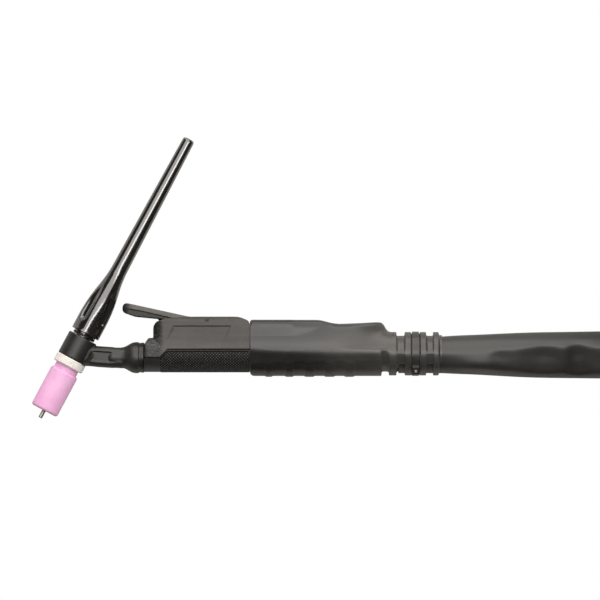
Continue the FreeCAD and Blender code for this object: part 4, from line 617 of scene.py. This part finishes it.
def make_materials():
    """Every finish by its name: the record's material slots, and two more for knurl and pin."""
    return {
        "tungsten": metal("ground_tungsten", (0.22, 0.21, 0.2), (0.5, 0.49, 0.47), 0.34, scale=1600.0),
        "copper": metal("turned_copper", (0.42, 0.2, 0.12), (0.72, 0.4, 0.26), 0.32),
        "alumina": ceramic(),
        "ptfe": turned_plastic(),
        "brass": metal("turned_brass", (0.5, 0.36, 0.14), (0.78, 0.6, 0.3), 0.3),
        "silicone": moulded_rubber("head_silicone", (0.008, 0.008, 0.007), (0.018, 0.017, 0.015), 0.42),
        "phenolic": polished_phenolic(),
        "seal_rubber": moulded_rubber("seal_rubber", (0.01, 0.01, 0.01), (0.02, 0.02, 0.02), 0.4),
        "cable_rubber": moulded_rubber("cable_rubber", (0.012, 0.012, 0.012), (0.026, 0.026, 0.025), 0.5),
        "knurl": knurled_nylon(),
        "grip_plastic": moulded_plastic("grip_nylon", (0.008, 0.008, 0.008), (0.018, 0.018, 0.017), 0.44),
        "housing_plastic": housing_nylon(),
        "lever_plastic": lever_nylon(),
        "pin_steel": pin_steel(),
        "steel": metal("bright_steel", (0.38, 0.38, 0.38), (0.62, 0.62, 0.62), 0.3),
        "switch_plastic": moulded_plastic("switch_case", (0.012, 0.012, 0.013), (0.022, 0.022, 0.024), 0.36),
        "plunger_plastic": moulded_plastic("switch_button", (0.4, 0.03, 0.02), (0.55, 0.06, 0.04), 0.36),
        "wire_plastic": moulded_plastic("wire_skin", (0.2, 0.2, 0.2), (0.3, 0.3, 0.29), 0.4),
        "boot_rubber": moulded_rubber(
            "boot_rubber", (0.006, 0.006, 0.006), (0.014, 0.013, 0.012), 0.33, drag_way=(0.15, 1, 1),
            # Painted light: the boot is painted paler from behind the handle backwards.
            paler=(-20.0, 45.0, (0.030, 0.029, 0.026), (0.050, 0.048, 0.043)),
        ),
        "tie_plastic": moulded_plastic("tie_nylon", (0.016, 0.016, 0.015), (0.028, 0.027, 0.024), 0.34),
        "sheath_skin": sheath_skin(),
        "plug_plastic": moulded_plastic("plug_shell", (0.012, 0.012, 0.012), (0.022, 0.022, 0.022), 0.4),
        "plug_metal": metal("nickel_ring", (0.5, 0.5, 0.48), (0.72, 0.72, 0.7), 0.26),
    }


# Curves and shares


def ramp(value, low, high):
    """0 at low, 1 at high and straight between them. Low may be the larger one."""
    return np.clip((value - low) / (high - low), 0, 1)


def smooth_step(value, low, high):
    """0 at low, 1 at high and smooth between them."""
    share = ramp(value, low, high)
    return share * share * (3 - 2 * share)


def read_off(place, stations):
    """Height at a place, from a list of places and heights."""
    places, heights = zip(*stations)
    return np.interp(place, places, heights)


def softer_least(one, other, ease):
    """The smaller of two lengths, rounded where they cross."""
    return -ease * np.log(np.exp(-one / ease) + np.exp(-other / ease))


def rounded_line(corners, steps):
    """Open line through (u, v, radius) corners, each rounded by an arc of its radius."""
    line = [corners[0][:2]]
    for before, corner, after in zip(corners, corners[1:], corners[2:]):
        here = Vector(corner[:2])
        radius = corner[2]
        if radius == 0:
            line.append(tuple(here))
            continue
        back = (Vector(before[:2]) - here).normalized()
        ahead = (Vector(after[:2]) - here).normalized()
        half = back.angle(ahead) / 2
        centre = here + (back + ahead).normalized() * (radius / math.sin(half))
        start = here + back * (radius / math.tan(half)) - centre
        end = here + ahead * (radius / math.tan(half)) - centre
        turn = start.angle_signed(end)
        for i in range(steps + 1):
            line.append(tuple(centre + Matrix.Rotation(-turn * i / steps, 2) @ start))
    line.append(corners[-1][:2])
    return line


def divided(line, longest):
    """The same line with no step longer than that."""
    points = [line[0]]
    for a, b in zip(line, line[1:]):
        count = max(1, math.ceil(math.dist(a, b) / longest))
        for i in range(1, count + 1):
            points.append((a[0] + (b[0] - a[0]) * i / count, a[1] + (b[1] - a[1]) * i / count))
    return points


# Mesh making


def put_in(name, data):
    """A new object in the scene."""
    made = bpy.data.objects.new(name, data)
    bpy.context.scene.collection.objects.link(made)
    return made


def dress(made, skin):
    """Gives an object one material."""
    made.data.materials.clear()
    made.data.materials.append(skin)


def fit(made, body, skin):
    """Gives a piece its material and its body."""
    dress(made, skin)
    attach(made, body)


def shade_smooth(mesh, smooth=True):
    mesh.polygons.foreach_set("use_smooth", [smooth] * len(mesh.polygons))


def piece(name, points, faces, body, skin, smooth=True):
    """A new visible piece from points in millimetres, riding on a body."""
    mesh = bpy.data.meshes.new(name)
    mesh.from_pydata([tuple(c * MM for c in p) for p in points], [], faces)
    mesh.validate()
    shade_smooth(mesh, smooth)
    made = put_in(name, mesh)
    fit(made, body, skin)
    return made


def grid_faces(rows, columns, closed):
    """Faces of a grid of points, row by row. A closed one joins its last column to its first."""
    faces = []
    last = columns if closed else columns - 1
    for i in range(rows - 1):
        for j in range(last):
            k = (j + 1) % columns
            faces.append((i * columns + j, i * columns + k, (i + 1) * columns + k, (i + 1) * columns + j))
    return faces


def soft_copy(node, name, voxel, rounds):
    """A moulded version of a CAD node: the same solid remeshed finely, with its edges softened."""
    mesh = NODES[node].data.copy()
    made = put_in(name, mesh)
    weld = bmesh.new()
    weld.from_mesh(mesh)
    bmesh.ops.remove_doubles(weld, verts=weld.verts, dist=1e-6)
    weld.to_mesh(mesh)
    weld.free()
    remesh = made.modifiers.new("remesh", "REMESH")
    remesh.mode = "VOXEL"
    remesh.voxel_size = voxel * MM
    smooth = made.modifiers.new("soften", "SMOOTH")
    smooth.iterations = rounds
    smooth.factor = 0.5
    depsgraph = bpy.context.evaluated_depsgraph_get()
    finished = bpy.data.meshes.new_from_object(made.evaluated_get(depsgraph))
    made.modifiers.clear()
    made.data = finished
    shade_smooth(finished)
    return made


def eased(places, edges, share, rounds):
    """Pulls each point towards its neighbours' middle, by its own share, some rounds long."""
    count = len(places)
    ends = np.concatenate([edges[:, 0], edges[:, 1]])
    others = np.concatenate([edges[:, 1], edges[:, 0]])
    number = np.maximum(np.bincount(ends, minlength=count), 1)
    for _ in range(rounds):
        for axis in range(3):
            middle = np.bincount(ends, weights=places[others, axis], minlength=count) / number
            places[:, axis] += share * (middle - places[:, axis])


def moulded(node, body, slot, skins, voxel, rounds, shaped=None):
    """A soft copy that stands for its node. shaped, if given, moves its points."""
    made = soft_copy(node, node + "_moulded", voxel, rounds)
    if shaped is not None:
        places = np.empty(3 * len(made.data.vertices))
        edges = np.empty(2 * len(made.data.edges), dtype=np.int32)
        made.data.vertices.foreach_get("co", places)
        made.data.edges.foreach_get("vertices", edges)
        places = places.reshape(-1, 3) / MM
        shaped(places, edges.reshape(-1, 2))
        made.data.vertices.foreach_set("co", (places * MM).ravel())
    fit(made, body, skins[slot])
    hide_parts(node)


# Boot, housing and head cover


def boot_width(x, y, top):
    """Half width of the boot's upper section: bulging sides that round over to its top."""
    round_end = RELIEF_RADIUS + NARROWING * ramp(x, NARROWING_END, NARROWING_START)
    half = np.minimum(BOOT_HALF_WIDTH, np.sqrt(round_end ** 2 - (BOOT_MIDDLE_Y - RELIEF_Y) ** 2))
    back = smooth_step(x, SKIN_START, HUMP_END)
    deepest = SIDE_DEEPEST + (HUMP_SIDE_DEEPEST - SIDE_DEEPEST) * back
    power = FRONT_POWER + (HUMP_POWER - FRONT_POWER) * back
    drop = np.minimum(SIDE_CURVE * (y - BOOT_MIDDLE_Y) ** 2, deepest)
    return (half - drop) * (1 - ramp(y, BOOT_MIDDLE_Y, top) ** power) ** (1 / power)


def shape_boot(places, edges):
    """One smooth skin over sides, dip and hump, grooves beside the cable tie, and a low end lip."""
    x, y = places[:, 0], places[:, 1].copy()
    off = places[:, 2] - AXIS_Z
    outer = np.hypot(y - RELIEF_Y, off) > BOOT_WALL
    top = read_off(x, BOOT_TOP)

    # Flat sides bulge a little above, only as deep as the wall allows, and turn under below
    rise = y - BOOT_MIDDLE_Y
    under = np.maximum(read_off(x, BOOT_BEND) - y, 0)
    curved = np.minimum(under, LOWER_CURVE_HEIGHT)
    below = LOWER_SIDE_CURVE * curved * (2 * under - curved)
    side = BOOT_HALF_WIDTH - np.where(rise > 0, np.minimum(SIDE_CURVE * rise ** 2, SIDE_DEEPEST), below)
    off = np.where(outer & (x < RELIEF_START) & (np.abs(off) > side), np.sign(off) * side, off)

    # Upper skin behind the pocket goes out to one section, straight away from the section's middle
    aside = np.maximum(np.abs(off), 1e-4)
    reach = np.hypot(aside, rise)
    cosine, sine = aside / reach, np.maximum(rise / reach, 1e-6)
    low, high = np.zeros(len(x)), np.minimum((top - BOOT_MIDDLE_Y) / sine, 30.0)
    for _ in range(26):
        middle = (low + high) / 2
        inside = middle * cosine < boot_width(x, BOOT_MIDDLE_Y + middle * sine, top)
        low, high = np.where(inside, middle, low), np.where(inside, high, middle)
    lift = (BOOT_MIDDLE_Y - RELIEF_Y) * sine
    circle = np.sqrt(lift ** 2 + RELIEF_RADIUS ** 2 - (BOOT_MIDDLE_Y - RELIEF_Y) ** 2) - lift
    start = ROUND_FROM_SIDE + (ROUND_FROM_TOP - ROUND_FROM_SIDE) * sine ** 3
    wanted = low + smooth_step(x, start, RELIEF_START + 0.5) * (circle - low)
    share = smooth_step(x, SKIN_START, SKIN_START + 3.0) * (x < RELIEF_START + 1.0) * (rise > 0) * outer
    scale = 1 + share * (wanted / reach - 1)
    off, y = off * scale, BOOT_MIDDLE_Y + rise * scale

    # Relief: grooves beside the tie, and the low lip at the boot's end
    radius = np.hypot(y - RELIEF_Y, off)
    skin = smooth_step(y, -4.0, 1.0) * ramp(radius, 11.6, 12.6)
    grooves = sum(np.exp(-(((x - groove) / TIE_GROOVE_WIDTH) ** 2)) for groove in TIE_GROOVES)
    depth = TIE_GROOVE_DEPTH * grooves * skin
    depth = depth + ramp(x, LIP_START, LIP_START + 0.7) * np.maximum(radius - LIP_RADIUS, 0)
    shrink = 1 - depth / np.maximum(radius, 1)
    places[:, 1] = RELIEF_Y + (y - RELIEF_Y) * shrink
    places[:, 2] = AXIS_Z + off * shrink

    # Ease the upper skin, and leave the pocket and the relief as they are
    share = ramp(x, SKIN_START + 0.2, SKIN_START + 4.2) * ramp(x, RELIEF_START + 0.8, RELIEF_START - 1.2)
    eased(places, edges, 0.5 * share * ramp(y, -4.0, 0.0), 14)


def panel_depth(x, y):
    """How deep the side panel is: a sharp upper edge, soft slanted ends and no lower edge."""
    along = x + PANEL_SLANT * (PANEL_TOP - y)
    left = smooth_step(along, PANEL_LEFT, PANEL_LEFT + PANEL_END_EDGE)
    right = smooth_step(along, PANEL_RIGHT, PANEL_RIGHT - PANEL_END_EDGE)
    upper = smooth_step(y, PANEL_TOP, PANEL_TOP - PANEL_EDGE)
    lower = smooth_step(y, PANEL_BOTTOM, PANEL_BOTTOM + PANEL_FADE)
    return PANEL_DEPTH * left * right * upper * lower


def shape_housing(places, edges):
    """Slightly bulging sides, a soft panel, and the groove of the parting line over the grip."""
    x, y, off = places[:, 0], places[:, 1], places[:, 2] - AXIS_Z
    flat = (x > HOUSING_START) & (x < HOUSING_END) & (y > HOUSING_LOW) & (y < HOUSING_TOP)
    flat &= np.abs(off) > HOUSING_SIDE - 0.6
    off = np.where(flat, np.sign(off) * (HOUSING_SIDE - panel_depth(x, y)), off)

    # Points further up or down lie further in
    bulge = CROWN_DEPTH * np.clip((y - CROWN_MIDDLE_Y) / CROWN_REACH, -1, 1) ** 2
    off = off - np.sign(off) * ramp(np.abs(off), CROWN_START, CROWN_FULL) * bulge

    # The skin near the parting line goes in, so that the line shows as a groove
    above = y - (GRIP_AXIS_Y - GRIP_DIP * ramp(x, RAMP_END, DIP_END))
    skin = ramp(np.abs(off), HOUSING_SIDE - 1.8, HOUSING_SIDE - 0.6)
    groove = PARTING_DEPTH * ramp(above, PARTING_HEIGHT, PARTING_HEIGHT / 2) * skin
    places[:, 2] = AXIS_Z + off - np.sign(off) * groove


def shape_head(places, edges):
    """A swept fillet where the neck leaves the barrel, flared webs beside it, and a fuller neck."""
    offset = places - np.array(HEAD)
    across = offset @ np.array(ACROSS_ELECTRODE)
    station = offset @ np.array(ALONG_ELECTRODE)

    # Fillet: points near the neck's middle line go out from it, most beside the barrel
    out = ramp(across, FILLET_START, FILLET_START + FILLET_REACH)
    swell = FILLET_HEIGHT * (1 - out) ** 2 * (across > FILLET_START)
    side = np.stack([station - NECK_MIDDLE, offset[:, 2]], axis=1)
    length = np.maximum(np.linalg.norm(side, axis=1), 0.5)
    grow = swell * ramp(length, 3.0, 5.5) * ramp(length, 9.0, 7.0) / length
    places += (side[:, 0] * grow)[:, None] * np.array(ALONG_ELECTRODE)
    places[:, 2] += side[:, 1] * grow

    # Neck: a little fuller all round
    off = places[:, 2] - AXIS_Z
    neck = smooth_step(places[:, 0], NECK_START, NECK_START + 4.0)
    neck *= smooth_step(places[:, 0], NECK_END, NECK_END - 3.0)
    around = np.stack([places[:, 1] - HEAD[1], off], axis=1)
    reach = np.maximum(np.linalg.norm(around, axis=1), 5.0)
    places[:, 1:] += (NECK_SWELL * neck / reach)[:, None] * around

    # Webs: the skin flares outwards between barrel and neck
    web = ramp(across, WEB_START, WEB_START + 3.0) * ramp(across, 11.0, 8.5)
    web *= ramp(station, -10.0, -6.0) * ramp(station, 8.5, 3.5)
    skin = (np.hypot(across, off) > BARREL_SKIN) & (np.abs(off) > 4)
    places[:, 2] += np.sign(off) * web * skin * WEB_FLARE * np.maximum(across - WEB_START, 0)


# Cords


def spline_points(route):
    """Points along a smooth NURBS line whose control points are the route, in millimetres."""
    curve = bpy.data.curves.new("route", "CURVE")
    curve.dimensions = "3D"
    curve.resolution_u = 12
    spline = curve.splines.new("NURBS")
    spline.points.add(len(route) - 1)
    for point, place in zip(spline.points, route):
        point.co = (*[c * MM for c in place], 1)
    spline.order_u = 3
    spline.use_endpoint_u = True
    holder = put_in("route", curve)
    mesh = bpy.data.meshes.new_from_object(holder)
    points = np.array([v.co for v in mesh.vertices], float) / MM
    bpy.data.objects.remove(holder)
    bpy.data.curves.remove(curve)
    bpy.data.meshes.remove(mesh)
    return points


def sweep(points, spacing, radius_at, columns):
    """Tube round a line: rings of points and faces. radius_at takes distance and angle."""
    steps = np.linalg.norm(np.diff(points, axis=0), axis=1)
    reach = np.concatenate([[0], np.cumsum(steps)])
    count = max(2, int(round(reach[-1] / spacing)) + 1)
    at = np.linspace(0, reach[-1], count)
    line = np.stack([np.interp(at, reach, points[:, i]) for i in range(3)], axis=1)
    way = np.gradient(line, axis=0)
    way /= np.linalg.norm(way, axis=1)[:, None]
    side = np.cross(way, [0, 0, 1])
    side /= np.linalg.norm(side, axis=1)[:, None]
    up = np.cross(side, way)
    angles = np.linspace(0, 2 * math.pi, columns, endpoint=False)
    radii = radius_at(at[:, None], angles[None, :])
    rings = line[:, None, :] + radii[..., None] * (
        side[:, None, :] * np.cos(angles)[None, :, None] + up[:, None, :] * np.sin(angles)[None, :, None]
    )
    faces = grid_faces(count, columns, True)
    faces.append(tuple(range(columns)))
    faces.append(tuple(reversed(range((count - 1) * columns, count * columns))))
    return rings.reshape(-1, 3), faces


def coil_state(turn):
    """Radius and height of the coiled sheath after some turns."""
    radius = COIL_OUTER
    height = AXIS_Z
    for turns, inward, up in COIL_MOVES:
        done = (1 - math.cos(math.pi * min(max(turn / turns, 0), 1))) / 2
        radius -= COIL_PITCH * inward * done
        height += COIL_LAYER * up * done
        turn -= turns
    return radius, height


def sheath_route():
    """The straight run, then the coil's turns, with the spline's cut corners made up for."""
    route = list(SHEATH_STRAIGHT)
    count = int(round(sum(move[0] for move in COIL_MOVES) * POINTS_PER_TURN))
    reach = 1 / math.cos(math.pi / POINTS_PER_TURN)
    for i in range(count + 1):
        turn = i / POINTS_PER_TURN
        radius, height = coil_state(turn)
        radius *= reach if 0 < i < count else 1.0
        angle = 2 * math.pi * turn - math.pi / 2
        x = COIL_CENTRE[0] + radius * math.cos(angle)
        route.append((x, COIL_CENTRE[1] + radius * math.sin(angle), height))
    route.append((route[-1][0], route[-1][1] - COIL_LEAD_OUT, route[-1][2]))
    return route


def sheath_radius(at, angle):
    """Radius of the sheath: drawn in at the boot, then full, with soft folds and dents."""
    x = at + SHEATH_START
    grown = 1 - (1 - ramp(x, BOOT_END, BOOT_END + SHEATH_GROWTH)) ** 1.9
    radius = SHEATH_GRIPPED + (SHEATH_FULL - SHEATH_GRIPPED) * grown

    # Slack front, on the side that faces up: 0 is straight up from the bench, 90 is the photo's up
    tilt = np.where(np.sin(angle) > 0, np.degrees(np.arcsin(np.clip(-np.cos(angle), -1, 1))), 180.0)
    ridge = np.radians(read_off(x, SHEATH_RIDGE) - FACET_LEAN)
    facet = radius * np.cos(ridge) / np.cos(np.radians(np.clip(tilt - FACET_LEAN, -75, 75)))
    radius = softer_least(radius, facet, FACET_EDGE)

    shown = ramp(x, FOLDS_START, FOLDS_FULL)
    for place, lean, length, width, height in SHEATH_FOLDS:
        radius = radius + shown * height * np.exp(-((x - place) / length) ** 2 - ((tilt - lean) / width) ** 2)
    short = 0.10 * np.sin(x / 9.0 + 2.2 * np.sin(angle))
    long = 0.16 * np.sin(x / 23.0 + 1.5 * np.cos(angle + 1.0))
    return radius + shown * (short + long)


def make_sheath(skins):
    """The sheath in one piece, from inside the boot to the collar at the coil's end."""
    points = spline_points(sheath_route())
    verts, faces = sweep(points, 3.0, sheath_radius, 56)
    made = piece("sheath", verts, faces, "handle", skins["sheath_skin"])
    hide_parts("sheath_run", "sheath_coil")


def make_tail(name, route, radius, skins):
    """A round cable from the collar to its plug, in place of the CAD tail of that name."""

    def even(at, angle):
        return np.full(np.broadcast(at, angle).shape, radius)

    points = spline_points(route)
    verts, faces = sweep(points, 1.5, even, 28)
    made = piece(name, verts, faces, "handle", skins["cable_rubber"])
    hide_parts(name + "_tail")


# Other pieces of the torch


def cap_radius(radius, station, angle):
    """The cap's radius once its thread and its four flutes are cut, with slightly rounded edges."""
    if THREAD_RADIUS - 0.2 < radius <= THREAD_RADIUS and THREAD_START < station < THREAD_END:
        turn = (station / THREAD_PITCH - angle / (2 * math.pi)) % 1.0
        return radius - 2 * THREAD_DEPTH * abs(turn - 0.5)
    if radius < CAP_NECK or station < FLUTED_START or station > FLUTED_END:
        return radius
    round_off = min(station - FLUTED_START, 2.0) / 2.0 * min(FLUTED_END - station, 20.0) / 20.0
    radius *= 1 - 0.04 * round_off * (1 - math.cos(4 * angle))
    reach = FLUTE_DISTANCE - (station - FLUTE_START) * math.tan(FLUTE_LEAN)
    before = max(FLUTE_START - station, 0.0)
    size = math.sqrt(max(FLUTE_RADIUS ** 2 - before ** 2, 0.0))
    off = angle % (math.pi / 2) - math.pi / 4
    inside = size ** 2 - (reach * math.sin(off)) ** 2
    if inside <= 0:
        return radius
    return softer_least(radius, reach * math.cos(off) - math.sqrt(inside), FLUTE_EDGE)


def make_cap(skins):
    """Back cap as one turned grid, fine enough for its polish, with threads and flutes."""
    line = divided(rounded_line(CAP_CORNERS, 6), CAP_STEP)
    points = []
    for radius, station in line:
        for j in range(CAP_COLUMNS):
            angle = 2 * math.pi * j / CAP_COLUMNS
            r = max(cap_radius(radius, station, angle), 0.001)
            place = HEAD + ALONG_ELECTRODE * station + ACROSS_ELECTRODE * (r * math.cos(angle))
            points.append((place.x, place.y, place.z - r * math.sin(angle)))
    faces = grid_faces(len(line), CAP_COLUMNS, True)
    made = piece("back_cap_polished", points, faces, "cap", skins["phenolic"])
    made.data.set_sharp_from_angle(angle=math.radians(40))
    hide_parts("back_cap")


def make_knurl(skins):
    """Diamond knurl over the grip's round side, as raised points on a thin skin."""
    rows = int((KNURL_END - KNURL_START) / KNURL_STEP)
    columns = int(math.pi * GRIP_RADIUS / KNURL_STEP)
    diamond = KNURL_PITCH * math.sqrt(2)
    points = []
    for i in range(rows + 1):
        x = KNURL_START + (KNURL_END - KNURL_START) * i / rows
        drop = GRIP_DIP * float(ramp(x, RAMP_END, DIP_END))
        first = math.asin(drop / GRIP_RADIUS) + KNURL_GAP / GRIP_RADIUS
        span = (math.pi - 2 * first) * GRIP_RADIUS
        for j in range(columns + 1):
            angle = first + (math.pi - 2 * first) * j / columns
            around = angle * GRIP_RADIUS
            slopes = [1 - 2 * abs(side / diamond % 1.0 - 0.5) for side in (x + around, x - around)]
            inset = span * j / columns
            edge = min(x - KNURL_START, KNURL_END - x, inset, span - inset) / KNURL_EDGE
            edge = min(max(edge, 0.0), 1.0)
            radius = GRIP_RADIUS - KNURL_BASE + edge * (KNURL_BASE + KNURL_HEIGHT * min(slopes))
            points.append((x, GRIP_AXIS_Y - radius * math.sin(angle), AXIS_Z + radius * math.cos(angle)))
    faces = grid_faces(rows + 1, columns + 1, False)
    piece("grip_knurl", points, faces, "handle", skins["knurl"])


def make_spring(skins):
    """The lever's spring, as a copy of its node on the handle."""
    made = put_in("lever_spring_wire", NODES["lever_spring"].data.copy())
    shade_smooth(made.data)
    fit(made, "handle", skins["steel"])
    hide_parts("lever_spring")
    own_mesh(made)


def make_tie_tail(skins):
    """Cut tail of the cable tie, a stub beside its head, painted pale as a highlight on the tie."""
    bm = bmesh.new()
    bmesh.ops.create_cube(bm, size=1.0)
    bmesh.ops.scale(bm, vec=TIE_TAIL_SIZE, verts=bm.verts)
    bmesh.ops.bevel(bm, geom=bm.edges, offset=0.18, segments=2, affect="EDGES")
    y = RELIEF_Y - TIE_TAIL_RADIUS * math.sin(TIE_TAIL_LEAN)
    centre = Vector((TIE_X, y, AXIS_Z + TIE_TAIL_RADIUS * math.cos(TIE_TAIL_LEAN)))
    turn = Matrix.Rotation(TIE_TAIL_LEAN, 4, "X")
    bmesh.ops.transform(bm, matrix=Matrix.Translation(centre) @ turn, verts=bm.verts)
    points = [tuple(v.co) for v in bm.verts]
    faces = [[v.index for v in f.verts] for f in bm.faces]
    bm.free()
    # Painted highlight: the stub wears the pale wire finish, standing for a glint at the tie's head.
    piece("tie_tail", points, faces, "handle", skins["wire_plastic"], smooth=False)


def dress_nodes(skins):
    """Every CAD node gets its own procedural material."""
    slots = {s["node"]: s["material_slot"] for s in frame["record"]["subparts"]}
    for name, node in NODES.items():
        dress(node, skins["pin_steel"] if name == "lever_pin" else skins[slots[name]])


# Stage


def look_along(made, way):
    """Turns a camera or a lamp so that it looks that way."""
    made.rotation_mode = "QUATERNION"
    made.rotation_quaternion = way.to_track_quat("-Z", "Y")


def make_camera():
    """The photograph's view: from above the bench, tilted a little, with a long lens."""
    camera = bpy.data.cameras.new("camera")
    camera.sensor_width = SENSOR_WIDTH
    camera.lens = SENSOR_WIDTH * VIEW_DISTANCE / VIEW_WIDTH
    camera.clip_start = 0.1
    camera.clip_end = 20.0
    made = put_in("camera", camera)
    back = Vector((0, -math.sin(VIEW_TILT), math.cos(VIEW_TILT)))
    made.location = (Vector(VIEW_CENTRE) + back * VIEW_DISTANCE) * MM
    look_along(made, -back)
    bpy.context.scene.camera = made


def make_lights():
    """Softboxes, which the camera doesn't see."""
    for name, place, target, size, power, in_gloss in SOFTBOXES:
        light = bpy.data.lights.new(name, "AREA")
        light.shape = "RECTANGLE"
        light.size, light.size_y = size
        light.energy = power
        light.color = LAMP_COLOUR
        made = put_in(name, light)
        made.location = place
        look_along(made, Vector(target) - Vector(place))
        made.visible_camera = False
        made.visible_glossy = in_gloss


def ray_kinds(owner):
    """Empties a material's or world's nodes, and gives what tells camera rays and glossy rays."""
    owner.use_nodes = True
    tree = owner.node_tree
    tree.nodes.clear()
    paths = tree.nodes.new("ShaderNodeLightPath")
    return Shade(tree, paths.outputs["Is Camera Ray"]), Shade(tree, paths.outputs["Is Glossy Ray"])


def show(seen, output, to_camera, to_others):
    """Feeds the output with one shader for the camera and one for everything else."""
    mix = seen.node("ShaderNodeMixShader", None, {0: seen, 1: to_others, 2: to_camera})
    seen.tree.links.new(mix.socket, seen.tree.nodes.new(output).inputs["Surface"])


def make_floor():
    """White bench: bright to the camera, plain and pale to everything else."""
    mesh = bpy.data.meshes.new("bench")
    size = BENCH_REACH * MM
    corners = [(x * size, y * size, 0) for x, y in ((-1, -1), (1, -1), (1, 1), (-1, 1))]
    mesh.from_pydata(corners, [], [(0, 1, 2, 3)])
    made = put_in("bench", mesh)
    made.location.z = BENCH_Z * MM
    white = bpy.data.materials.new("bench_white")
    seen, glossy = ray_kinds(white)
    glow = seen.node("ShaderNodeEmission", None, {"Color": (1, 1, 1, 1), "Strength": 1.0})
    paper = seen.node("ShaderNodeBsdfDiffuse", None, {"Color": glossy.blend(BENCH, BENCH_IN_GLOSS)})
    show(seen, "ShaderNodeOutputMaterial", glow, paper)
    mesh.materials.append(white)


def make_world():
    """White to the camera, dim to the object, and dimmer still in its gloss."""
    world = bpy.data.worlds.new("studio")
    seen, glossy = ray_kinds(world)
    strength = glossy * (ROOM_IN_GLOSS - ROOM_LIGHT) + ROOM_LIGHT
    white = seen.node("ShaderNodeBackground", None, {"Color": (1, 1, 1, 1), "Strength": 1.0})
    room = seen.node("ShaderNodeBackground", None, {"Color": (1, 0.98, 0.95, 1), "Strength": strength})
    show(seen, "ShaderNodeOutputWorld", white, room)
    bpy.context.scene.world = world


def main():
    """Camera and cords first, then the other pieces and the stage."""
    bpy.context.scene.view_settings.view_transform = "Standard"
    make_camera()
    skins = make_materials()
    make_sheath(skins)
    make_tail("power_cable", POWER_ROUTE, POWER_RADIUS, skins)
    make_tail("control_lead", CONTROL_ROUTE, CONTROL_RADIUS, skins)
    dress_nodes(skins)
    moulded("head_insulation", "handle", "silicone", skins, 0.34, 6, shape_head)
    moulded("rear_boot", "handle", "boot_rubber", skins, 0.4, 6, shape_boot)
    moulded("switch_housing", "handle", "housing_plastic", skins, 0.3, 3, shape_housing)
    moulded("lever", "switch_lever", "lever_plastic", skins, 0.25, 3)
    make_cap(skins)
    make_knurl(skins)
    make_spring(skins)
    make_tie_tail(skins)
    make_floor()
    make_world()
    make_lights()


main()
